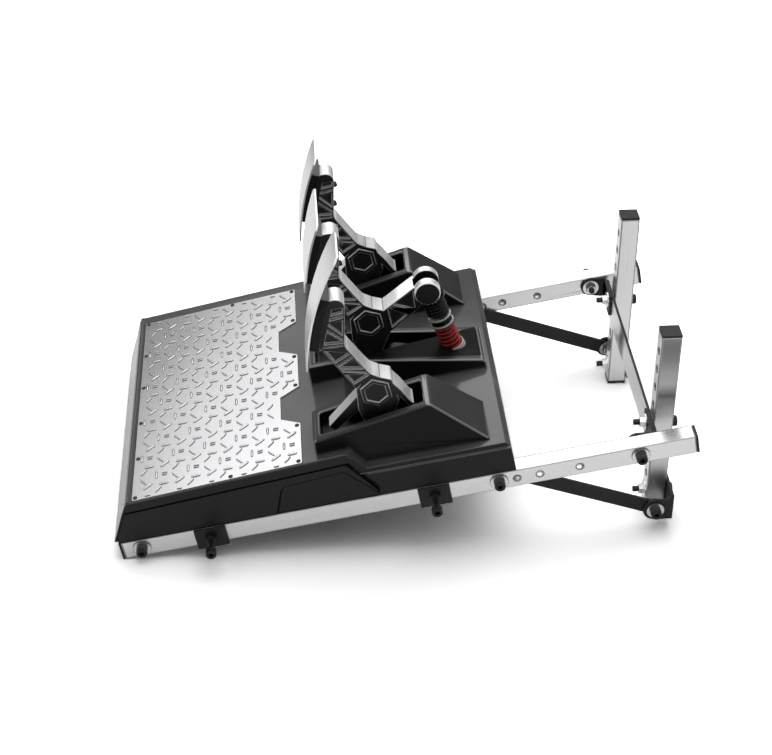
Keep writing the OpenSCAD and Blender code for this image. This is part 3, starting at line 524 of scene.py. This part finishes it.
class StandSizes(bpy.types.PropertyGroup):
    """Sizes of the stand, the base and their small parts."""

    tube_edge: length("Tube edge", "Rounding of the tubes' long edges", 0.0014)
    bar_edge: length("Bar edge", "Rounding of brackets, braces and clamps", 0.0005)
    base_edge: length("Base edge", "Rounding of the base moulding's edges", 0.0009)
    housing_edge: length("Housing edge", "Rounding of the pedal housings' edges", 0.0018)
    dash_width: length("Dash width", "Width of the heel plate's raised dashes", 0.0031)
    dash_height: length("Dash height", "Twice what a dash stands above the heel plate", 0.0028)
    heel_screw: FloatProperty(
        name="Heel screw",
        description="Size of the heel plate's screws against their drawing",
        default=1.0,
        min=0.5,
        max=1.5,
    )


class PedalSizes(bpy.types.PropertyGroup):
    """Sizes of the pedals and the brake's spring stack."""

    # The width of the rib edges that carry the arms' painted highlight.
    arm_highlight_edge: length("Arm edge", "Rounding of the arms' rib edges that carry the painted highlight", 0.0005)
    face_edge: length("Face edge", "Rounding of the face plates' edges", 0.0003)
    red_wire: length("Red wire", "Radius of the red springs' wire", 0.0019)
    red_turns: FloatProperty(name="Red turns", description="Turns of the red springs", default=6.6)
    black_wire: length("Black wire", "Radius of the black springs' wire", 0.0018)
    black_turns: FloatProperty(name="Black turns", description="Turns of the black springs", default=4.6)
    wire_sides: IntProperty(name="Wire sides", description="Sides of the springs' wire", default=12)


class Finishes(bpy.types.PropertyGroup):
    """Colours of the finishes."""

    tube: tint("Tubes", "Satin plated steel of the tubes", 0.88, 0.88, 0.885)
    bar: tint("Bars", "Powder coat of brackets, braces and clamps", 0.016, 0.016, 0.017)
    cap: tint("Caps", "Plastic of the tube caps", 0.016, 0.016, 0.017)
    screw: tint("Screws", "Black oxide of the socket screws", 0.008, 0.008, 0.009)
    zinc: tint("Washers", "Bright zinc of washers and nuts", 0.83, 0.83, 0.84)
    base: tint("Base", "Satin plastic of the base", 0.085, 0.085, 0.086)
    panel: tint("Side panels", "Grained plastic of the side panels", 0.007, 0.007, 0.0072)
    heel: tint("Heel plate", "Bright metal of the heel plate", 0.63, 0.63, 0.64)
    housing: tint("Housings", "Satin plastic of the housings", 0.035, 0.035, 0.0355)
    # Painted shade: darker sides and insides of the housings and pads.
    flank_painted_shade: tint("Housing flanks", "Painted shade on the plastic of the housings' sides and insides", 0.003, 0.003, 0.0031)
    arm: tint("Arms", "Bare metal of the pedal arms", 0.9, 0.9, 0.905)
    # Painted shade: the arms' sides.
    arm_side_shade: tint("Arm sides", "Painted shade on the sides of the arms", 0.011, 0.011, 0.0112)
    # Painted highlight on the arms' rib edges.
    arm_highlight_edge: tint("Arm edges", "Painted highlight on the edges of the arms' ribs", 0.42, 0.42, 0.425)
    face: tint("Faces", "Brushed metal of the faces", 0.88, 0.88, 0.89)
    pad: tint("Pads", "Plastic behind the faces", 0.11, 0.11, 0.111)
    red: tint("Red springs", "Gloss paint of the soft springs", 0.42, 0.003, 0.005)
    pale: tint("Spacers", "Plastic of the spacers and the cup", 0.72, 0.72, 0.71)
    spring: tint("Black springs", "Paint of the stiff springs and the stack's head", 0.004, 0.004, 0.0042)


class Settings:
    """The scene's settings, as every operator reads them."""

    @property
    def sizes(self):
        return bpy.context.scene.pedal_stand_sizes

    @property
    def pedals(self):
        return bpy.context.scene.pedal_sizes

    @property
    def colours(self):
        return bpy.context.scene.pedal_stand_finishes


class PEDAL_OT_stage(bpy.types.Operator):
    """Camera, lamps, floor and the white surroundings."""

    bl_idname = "pedal_stand.stage"
    bl_label = "Stage"

    def lamp(self, name, at, size, power):
        light = bpy.data.lights.new(name, "AREA")
        light.shape = "RECTANGLE"
        light.size, light.size_y = size
        light.energy = power
        lamp = bpy.data.objects.new(name, light)
        lamp.location = at
        lamp.rotation_mode = "QUATERNION"
        lamp.rotation_quaternion = (Vector(LAMPS_AIM) - Vector(at)).to_track_quat("-Z", "Y")
        bpy.context.scene.collection.objects.link(lamp)

    def camera(self, scene):
        flat = math.cos(CAMERA_RISE)
        back = Vector((math.sin(CAMERA_TURN) * flat, -math.cos(CAMERA_TURN) * flat, math.sin(CAMERA_RISE)))
        camera = bpy.data.cameras.new("camera")
        camera.lens, camera.sensor_width = CAMERA_LENS, SENSOR
        camera.clip_start, camera.clip_end = 0.05, 60.0
        view = bpy.data.objects.new("camera", camera)
        view.location = CAMERA_AT
        view.rotation_mode = "QUATERNION"
        view.rotation_quaternion = (-back).to_track_quat("-Z", "Y")
        scene.collection.objects.link(view)
        scene.camera = view
        scene.view_settings.view_transform = "Standard"

    def world(self):
        """White to the eye and in reflections; for the rest a dome that leans to the far side."""
        f = Finish("studio", bpy.data.worlds.new("studio"))
        camera_ray, glossy, through = f.rays()
        seen = camera_ray.greatest(glossy.greatest(through))
        height = f.dot(f.coordinates("Generated"), (-0.42, 0.05, 0.906))
        spread = {"Value": height, "From Min": 0.45, "From Max": 0.98, "To Min": 0.01, "To Max": 1.0}
        strength = f.node(
            "ShaderNodeMix", {}, {0: seen, 2: f.node("ShaderNodeMapRange", {}, spread), 3: 1.0}
        )
        light = f.node("ShaderNodeBackground", {}, {"Color": (1, 1, 1, 1), "Strength": strength})
        return f.ended(light, "World")

    def floor(self):
        """A floor that keeps the shadow and is white to the eye beyond it."""
        mesh = bpy.data.meshes.new("floor")
        mesh.from_pydata([(-9, -9, 0), (9, -9, 0), (9, 9, 0), (-9, 9, 0)], [], [(0, 1, 2, 3)])
        f = Finish("studio floor")
        camera_ray, glossy, through = f.rays()
        away = f.node("ShaderNodeVectorMath", {"operation": "LENGTH"}, {0: f.place}, out="Value")
        whiter = camera_ray * (1.05 + away.power(2) * 1.5)
        paint = 0.8 + (glossy + through) * 0.3 + whiter - f.noise(3, 2) * 0.02
        mesh.materials.append(f.ended(f.node("ShaderNodeBsdfDiffuse", {}, {"Color": paint})))
        piece = bpy.data.objects.new("floor", mesh)
        bpy.context.scene.collection.objects.link(piece)

    def dark_card(self):
        """A grey card on the far side that only reflections see; its upper edge shades the heel plate."""
        mesh = bpy.data.meshes.new("dark_card")
        edge = (
            (-1.4, 0),
            (1.5, 0),
            (1.5, 0.58),
            (0.3, 0.58),
            (-0.2, 0.42),
            (-0.33, 0.45),
            (-0.53, 0.62),
            (-1.4, 1.25),
        )
        mesh.from_pydata([(-0.95, y, z) for y, z in edge], [], [range(len(edge))])
        mesh.materials.append(moulded("card felt", (0.2, 0.2, 0.2), 0.9))
        flag = bpy.data.objects.new("dark_card", mesh)
        bpy.context.scene.collection.objects.link(flag)
        flag.visible_camera = flag.visible_diffuse = flag.visible_shadow = False

    def execute(self, context):
        self.camera(context.scene)
        self.lamp("far softbox", (-1.47, -0.16, 1.57), (1.8, 1.04), 6.5)
        self.lamp("overhead", (-0.30, 0.15, 1.90), (1.8, 1.8), 10)
        self.lamp("front", (0.5, -1.7, 1.2), (1.7, 0.9), 4.2)

        context.scene.world = self.world()
        self.floor()
        self.dark_card()
        return {"FINISHED"}


class PEDAL_OT_tubes(Settings, bpy.types.Operator):
    """Rails, posts and their caps, and the flat crossbar."""

    bl_idname = "pedal_stand.tubes"
    bl_label = "Tubes"

    def painted_dark_reflection(self, f):
        """A painted dark reflection on the crossbar, left of its middle."""
        return f.ramp(f.coordinate("X", -0.058, -0.024), (0.0, 1), (0.35, 0.2), (0.65, 0.2), (1.0, 1))

    def painted_reflection_bands(self, f):
        """Painted reflection: how much darker the right post's outer side is from the rail up, as the photo
        shows it.
        """
        share = (
            (0.0, 0.86),
            (0.15, 0.53),
            (0.255, 0.15),
            (0.36, 0.54),
            (0.45, 0.46),
            (0.56, 0.3),
            (0.66, 0.24),
            (0.86, 0.36),
        )
        return f.ramp(f.coordinate("Z", 0.11, 0.25), *share)

    def execute(self, context):
        c = self.colours
        rail = brushed_metal("rail steel", tuple(c.tube), 0.3, ALONG_RAILS)
        post = brushed_metal("post steel", tuple(c.tube), 0.3, UPWARDS)
        # The crossbar's steel carries a painted dark reflection left of its middle.
        bar = brushed_metal("crossbar steel", tuple(c.tube), 0.36, ACROSS, painted_shade=self.painted_dark_reflection)
        cap = moulded("cap plastic", tuple(c.cap), 0.5, shine=0.35)
        # Painted shade: the tubes' eased edges get a darker steel.
        line = plain_metal("tube edges", shade(c.tube, 0.45), 0.45)
        side_steel_painted_reflection = brushed_metal("post side steel painted reflection", tuple(c.tube), 0.3, UPWARDS, painted_shade=self.painted_reflection_bands)
        for side in ("right", "left"):
            eased("rail_" + side, self.sizes.tube_edge * 1000, [rail, line], edge_material=1)
            # The right post's outer side takes the steel with painted reflection bands.
            paint = (lambda normal: 1 if normal.x > 0.7 else 0) if side == "right" else None
            eased(
                "post_" + side,
                self.sizes.tube_edge * 1000,
                [post, side_steel_painted_reflection, line],
                paint=paint,
                edge_material=2,
            )
        eased("crossbar", 0.5, [bar, cap], paint=lambda normal: 1 if normal.z > 0.7 else 0)
        eased("rail_caps", 0.7, [cap])
        eased("post_caps", 0.7, [cap])
        return {"FINISHED"}


class PEDAL_OT_bars(Settings, bpy.types.Operator):
    """Brackets, braces and the clamp plates under the base."""

    bl_idname = "pedal_stand.bars"
    bl_label = "Brackets and braces"

    def execute(self, context):
        coat = moulded("bar powder coat", tuple(self.colours.bar), 0.46, 0.35, 1500, shine=0.35)
        parts = ("upper_bracket_", "lower_bracket_", "brace_")
        names = [part + side for part in parts for side in ("right", "left")]
        for node in [*names, "rail_clamps"]:
            eased(node, self.sizes.bar_edge * 1000, [coat])
        return {"FINISHED"}


class PEDAL_OT_screws(Settings, bpy.types.Operator):
    """Socket screws, washers and nuts of the stand."""

    bl_idname = "pedal_stand.screws"
    bl_label = "Screws"

    def execute(self, context):
        oxide = moulded("screw oxide", tuple(self.colours.screw), 0.34, 0.2, 1600, shine=0.4)
        zinc = plain_metal("bright zinc", tuple(self.colours.zinc), 0.24)
        for node in ("rail_screws", "foot_screws", "post_bolts", "clamp_screws"):
            eased(node, 0.35, [oxide])
        # Painted shade: the washers' rims and eased edges are dark grey.
        painted_light_rim = plain_metal("washer rims", (0.1, 0.1, 0.1), 0.5)
        for node in ("rail_washers", "foot_washers"):
            eased(
                node,
                0.3,
                [zinc, painted_light_rim],
                paint=lambda normal: 0 if abs(normal.x) > 0.7 else 1,
                edge_material=1,
            )
        eased("post_nuts", 0.3, [zinc])
        self.knurl(oxide)
        return {"FINISHED"}

    def heads(self):
        """The places of the socket heads, +Z out of each: their seats, and how tall they are."""
        out_right, out_left = (Matrix.Rotation(side * math.pi / 2, 4, "Y") for side in (1, -1))
        out_back = Matrix.Rotation(-math.pi / 2, 4, "X")
        for side, out in ((1, out_right), (-1, out_left)):
            for y in (FRONT_HOLE, BRACE_HOLE, BRACKET_HOLE):
                yield ON_RAILS @ moved(side * (HALF_WIDTH + WASHER_T), y, RAIL_MID) @ out, HEAD_H
            for y in CLAMP_HOLES:
                reach = HALF_WIDTH + PLATE + CLAMP_REACH - HEAD_H
                yield ON_RAILS @ moved(side * reach, y, RAIL_MID) @ out, HEAD_H
            foot_x = HALF_WIDTH - TUBE + PLATE + WASHER_T
            yield ON_FLOOR @ moved(side * foot_x, POST_Y + FOOT_IN, BOLT_LOW) @ out, HEAD_H
            for depth, height in ((TUBE, BOLT_HIGH), (TUBE + PLATE, BOLT_LOW)):
                yield ON_FLOOR @ moved(side * POST_MID, POST_Y + depth, height) @ out_back, SHORT_HEAD

    def band(self, tall, ridges=32, low=0.8, short_of=1.2, valley=0.03, ridge=0.32, sunk=0.6):
        """A ridged band round a socket head, as bmesh: every second line of it stands out."""
        outside, inside = HEAD_D / 2 + valley, HEAD_D / 2 - sunk
        steps = 2 * ridges
        made = turned(
            [(outside, low), (outside, tall - short_of), (inside, tall - short_of), (inside, low)], steps
        )
        made.verts.ensure_lookup_table()
        for k in range(1, 2 * steps, 2):
            made.verts[k].co.xy *= (HEAD_D / 2 + ridge) / outside
        for face in made.faces:
            face.smooth = False
        return made

    def knurl(self, material):
        """A knurled band round each socket head, at two heights of head."""
        for tall, name in ((HEAD_H, "tall"), (SHORT_HEAD, "short")):
            item = item_from(self.band(tall), "knurl")
            places = seeds([place for place, height in self.heads() if height == tall])
            mesh = grown("knurl_" + name, places, Tree.of_items(), Item=item, Scale=1.0, Material=material)
            placed(mesh, "knurled_heads_" + name, "stand")


class PEDAL_OT_base(Settings, bpy.types.Operator):
    """The base moulding and its side panels."""

    bl_idname = "pedal_stand.base"
    bl_label = "Base"

    def execute(self, context):
        c = self.colours
        base = moulded("base plastic", tuple(c.base), 0.4, 0.2, coat=0.8, shine=0.25)
        panel = moulded("panel plastic", tuple(c.panel), 0.42, 0.4, 1300, shine=0.3)
        seam = moulded("panel seams", (0.001, 0.001, 0.001), 0.6, shine=0.05)
        eased(
            "deck",
            self.sizes.base_edge * 1000,
            [base, panel],
            paint=lambda normal: 1 if abs(normal.x) > 0.8 else 0,
        )
        for side in ("right", "left"):
            eased("side_panel_" + side, 0.9, [panel, seam], edge_material=1)
        return {"FINISHED"}


class PEDAL_OT_heel_plate(Settings, bpy.types.Operator):
    """The embossed heel plate and its small screws."""

    bl_idname = "pedal_stand.heel_plate"
    bl_label = "Heel plate"

    def execute(self, context):
        heel = tuple(self.colours.heel)
        metal = brushed_metal("heel metal", heel, 0.27, ACROSS, grain=0.12)
        eased("heel_plate", 0.3, [metal])
        # The dashes' metal carries painted shade on their sloping sides.
        raised = brushed_metal("dash metal", heel, 0.27, ACROSS, grain=0.12, painted_shade=self.painted_slope_shade)
        dashes = list(self.dashes())
        places = [
            moved(x, y, 0) @ Matrix.Rotation(math.atan2(dy, dx), 4, "Z") for x, y, dx, dy, slim in dashes
        ]
        lengths = [math.hypot(dx, dy) / 1000 for x, y, dx, dy, slim in dashes]
        points = seeds(places, long=lengths, slim=[slim for x, y, dx, dy, slim in dashes])
        sizes = self.sizes
        settings = {"Width": sizes.dash_width, "Height": sizes.dash_height, "Material": raised}
        mesh = grown("dashes", points, Tree.of_dashes(), **settings)
        mesh.transform(ON_HEEL)
        placed(mesh, "heel_dashes", "stand")
        outline = [
            (0.01, 0.2),
            (0.9, 0.2),
            (0.9, 1.0),
            (1.5, 1.05),
            (2.2, 0.6),
            (2.35, 0),
            (2.35, -0.5),
            (0.01, -0.5),
        ]
        head = turned(outline, 16)
        spots = [(side * x, y) for y, row in HEEL_SCREWS for x in row for side in (1, -1)]
        screw = moulded("heel screw oxide", (0.02, 0.02, 0.021), 0.25, 0.1, shine=0.6)
        points = seeds([ON_HEEL @ moved(x, y, 0) for x, y in spots])
        item = item_from(head, "heel_screw")
        mesh = grown("screws", points, Tree.of_items(), Item=item, Scale=sizes.heel_screw, Material=screw)
        placed(mesh, "heel_screws", "stand")
        return {"FINISHED"}

    def painted_slope_shade(self, f):
        """Painted shade: the dashes' sloping sides are darker than their tops."""
        up = (0, -math.sin(INCLINE + WEDGE_RISE), math.cos(INCLINE + WEDGE_RISE))
        return f.ramp(f.facing(up), (0.4, 0.3), (0.9, 1.0))

    def dashes(self):
        """The dashes that lie whole on the plate, from its front edge: middle, run and slimness."""
        marks = [
            (0, 0, 11.5, 0, 1),
            (15.75, 8.25, 0, 10.5, 1),
            (-15.75, 8.25, -7.8, 10.2, 1),
            (1.5, 8.4, 0, 6, 0.55),
            (-1.5, 8.4, 0, 6, 0.55),
            (-9.3, -12.2, -6, 4, 0.55),
            (-6.9, -14.4, -6, 4, 0.55),
            (6.3, -14.1, 6.2, 4.6, 0.55),
            (8.7, -12.1, 6.2, 4.6, 0.55),
        ]
        start_x, start_y, column_step, row_step = -124.8, 24.3, 31.5, 33
        for column in range(-4, 14):
            for row in range(-9, 9):
                for x, y, dx, dy, slim in marks:
                    x += start_x + column_step * column
                    y += start_y + row_step * (row + column / 2)
                    ends = [(x + k * dx / 2, y + k * dy / 2) for k in (-1, 0, 1)]
                    if all(self.on_plate(*end) for end in ends):
                        yield x, y, dx, dy, slim

    def on_plate(self, x, y, edge=2.6):
        if abs(x) > HEEL_HALF - edge or not edge < y < HEEL_LENGTH - edge:
            return False
        opened = (y + edge - HEEL_LENGTH + NOTCH_DEPTH) * NOTCH_SLANT / NOTCH_DEPTH
        return opened < 0 or not NOTCH_IN - opened - edge < abs(x) < NOTCH_OUT + opened + edge


class PEDAL_OT_housings(Settings, bpy.types.Operator):
    """The two closed housings and the brake's open trough."""

    bl_idname = "pedal_stand.housings"
    bl_label = "Housings"

    def execute(self, context):
        plastic = moulded("housing plastic", tuple(self.colours.housing), 0.36, 0.15, shine=0.3)
        # Painted shade: the housings' sides and insides are darker than their tops.
        flank_painted_shade = moulded("housing flanks", tuple(self.colours.flank_painted_shade), 0.4, 0.15, shine=0.2)
        # Painted highlight: the housings' eased edges get a lighter, glossier plastic.
        painted_light_rim = moulded("housing rims", shade(self.colours.housing, 3), 0.22, 0.1, coat=1.0, shine=0.6)
        edge = self.sizes.housing_edge * 1000
        finishes = [plastic, flank_painted_shade, painted_light_rim]
        for node in ("throttle_housing", "clutch_housing", "brake_trough"):
            eased(
                node,
                edge,
                finishes,
                segments=3,
                paint=lambda normal: 0 if normal.z > 0.5 else 1,
                edge_material=2,
            )
        dress("pivot_pins", plain_metal("pin steel", tuple(self.colours.tube), 0.3))
        return {"FINISHED"}


class PEDAL_OT_arms(Settings, bpy.types.Operator):
    """The three ribbed arms: bare metal on top and behind, with their sides black as painted shade."""

    bl_idname = "pedal_stand.arms"
    bl_label = "Arms"

    def execute(self, context):
        c = self.colours
        metal = plain_metal("arm metal", tuple(c.arm), 0.42, 0.75)
        # Painted highlight: the arms' eased rib edges are a lighter grey.
        edge = plain_metal("arm edge", tuple(c.arm_highlight_edge), 0.5)
        # Painted shade: faces turned sideways get the dark colour of the arms' sides.
        paint = moulded("arm side shade", tuple(c.arm_side_shade), 0.4, shine=0.3)
        for pedal in ("throttle", "brake", "clutch"):
            eased(
                pedal + "_arm",
                self.pedals.arm_highlight_edge * 1000,
                [metal, paint, edge],
                paint=lambda normal: 1 if abs(normal.x) > 0.75 else 0,
                edge_material=2,
                angle=60,
            )
        oxide = moulded("arm screw oxide", (0.008, 0.008, 0.009), 0.34, 0.2, 1600, shine=0.4)
        head = turned(
            [(0.01, 1.6), (1.5, 1.6), (1.5, 3.6), (2.6, 3.6), (3.0, 3.2), (3.0, -1.5), (0.01, -1.5)], 24
        )
        item = item_from(head, "arm_screw")
        back = Matrix.Rotation(ARM_LEAN - math.pi / 2, 4, "X")
        for x, pedal in ((PITCH, "throttle"), (0, "brake"), (-PITCH, "clutch")):
            places = [ON_RAILS @ moved(x, PIVOT[0] + y, PIVOT[1] + z) @ back for y, z in ARM_SCREWS]
            mesh = grown("arm_screws", seeds(places), Tree.of_items(), Item=item, Scale=1.0, Material=oxide)
            placed(mesh, pedal + "_arm_screws", pedal + "_pedal")
        return {"FINISHED"}


class PEDAL_OT_faces(Settings, bpy.types.Operator):
    """The curved metal faces and the black pads behind them."""

    bl_idname = "pedal_stand.faces"
    bl_label = "Faces"

    def execute(self, context):
        c = self.colours
        metal = brushed_metal("face metal", tuple(c.face), 0.3, ACROSS, grain=0.25)
        pad = moulded("pad plastic", tuple(c.pad), 0.42, 0.3, shine=0.35)
        flank_painted_shade = moulded("pad flanks", tuple(c.flank_painted_shade), 0.42, 0.3, shine=0.2)
        for pedal in ("throttle", "brake", "clutch"):
            eased(pedal + "_plate", self.pedals.face_edge * 1000, [metal])
            # Painted shade: the pads' sides are darker than their fronts.
            eased(pedal + "_pad", 0.8, [pad, flank_painted_shade], paint=lambda normal: 1 if abs(normal.x) > 0.7 else 0)
        return {"FINISHED"}


class PEDAL_OT_brake_stack(Settings, bpy.types.Operator):
    """The springs, spacers, cup and rod behind the brake arm."""

    bl_idname = "pedal_stand.brake_stack"
    bl_label = "Brake stack"

    def execute(self, context):
        c = self.colours
        sizes = self.pedals
        black = moulded("black spring paint", tuple(c.spring), 0.22, 0.1, shine=0.16)
        red = moulded("red spring paint", tuple(c.red), 0.3, 0.1, shine=0.35)
        pale = moulded("pale plastic", tuple(c.pale), 0.35)
        eased("stack_head", 0.5, [black])
        dress("guide_rod", plain_metal("rod zinc", tuple(c.zinc), 0.25))
        eased("spring_cup", 0.5, [pale])
        eased("sensing_beam", 0.5, [plain_metal("beam metal", (0.03, 0.03, 0.031), 0.35)])
        ends = ("stand", "brake_pedal", self.on_axis(RED_SPAN[0]), self.on_axis(FLANGE))
        coils = (
            ("red_coil", RED_SPAN, RED_RADIUS, sizes.red_wire, sizes.red_turns, red),
            ("black_coil", BLACK_SPAN, BLACK_RADIUS, sizes.black_wire, sizes.black_turns, black),
        )
        for name, span, radius, wire, turns, material in coils:
            path = self.path(turns, radius / 1000 - wire, span[0] / 1000, span[1] / 1000, wire)
            mesh = grown(name, path, Tree.of_wire(), Wire=wire, Sides=sizes.wire_sides, Material=material)
            mesh.transform(IN_STACK)
            piece = placed(mesh, name, None, ends)
            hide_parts(name.replace("coil", "springs"))
        for name, profile, material in (
            ("collar", self.ring(COLLAR_SPAN, COLLAR_RADIUS, 0.6), black),
            ("lower_spacer", self.ring(SPACER_SPANS[0], SPACER_RADIUS, 0.4), pale),
            ("upper_spacer", self.ring(SPACER_SPANS[1], SPACER_RADIUS, 0.4), pale),
        ):
            mesh = mesh_from(turned(profile), name, material)
            mesh.transform(IN_STACK)
            mesh.set_sharp_from_angle(angle=SHARP)
            piece = placed(mesh, name, None, ends)
            if name == "lower_spacer":
                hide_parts("pale_spacers")
        return {"FINISHED"}

    def ring(self, span, radius, edge, bore=4.6):
        """The profile of a ring round the rod, its outer edges bevelled."""
        low, high = span
        outside = [(radius - edge, low), (radius, low + edge), (radius, high - edge), (radius - edge, high)]
        return [(bore, low), *outside, (bore, high)]

    def on_axis(self, height):
        return tuple(IN_STACK @ Vector((0, 0, height / 1000)))

    def path(self, turns, radius, low, high, wire, steps=28):
        """A spring's path: its first and last turns are closed, the rest climbs evenly. Lengths in metres."""
        low, high = low + wire, high - wire
        closed = 2.04 * wire
        climb = (high - low - 2 * closed) / (turns - 2)
        points = []
        for k in range(int(turns * steps) + 1):
            t = k / steps
            a = 2 * math.pi * t
            z = closed * min(t, 1) + climb * min(max(t - 1, 0), turns - 2) + closed * max(0, t - turns + 1)
            points.append((radius * math.cos(a), radius * math.sin(a), low + z))
        mesh = bpy.data.meshes.new("spring_path")
        mesh.from_pydata(points, [(k, k + 1) for k in range(len(points) - 1)], [])
        return mesh


class PEDAL_PT_panel(bpy.types.Panel):
    """Lists the pieces of the pedal stand and their settings."""

    bl_idname = "PEDAL_PT_panel"
    bl_label = "Pedal Stand"
    bl_space_type = "VIEW_3D"
    bl_region_type = "UI"
    bl_category = "Pedal Stand"

    def draw(self, context):
        for operator in OPERATORS:
            self.layout.operator(operator.bl_idname)
        for group in GROUPS:
            settings = getattr(context.scene, GROUPS[group])
            for name in group.__annotations__:
                self.layout.prop(settings, name)


OPERATORS = (
    PEDAL_OT_stage,
    PEDAL_OT_tubes,
    PEDAL_OT_bars,
    PEDAL_OT_screws,
    PEDAL_OT_base,
    PEDAL_OT_heel_plate,
    PEDAL_OT_housings,
    PEDAL_OT_arms,
    PEDAL_OT_faces,
    PEDAL_OT_brake_stack,
)
GROUPS = {StandSizes: "pedal_stand_sizes", PedalSizes: "pedal_sizes", Finishes: "pedal_stand_finishes"}


def register():
    for group, name in GROUPS.items():
        bpy.utils.register_class(group)
        setattr(bpy.types.Scene, name, PointerProperty(type=group))
    for operator in OPERATORS:
        bpy.utils.register_class(operator)
    bpy.utils.register_class(PEDAL_PT_panel)


def unregister():
    bpy.utils.unregister_class(PEDAL_PT_panel)
    for operator in reversed(OPERATORS):
        bpy.utils.unregister_class(operator)
    for group, name in GROUPS.items():
        delattr(bpy.types.Scene, name)
        bpy.utils.unregister_class(group)


def main():
    register()
    for operator in OPERATORS:
        group, name = operator.bl_idname.split(".")
        getattr(getattr(bpy.ops, group), name)()


if __name__ == "__main__":
    main()
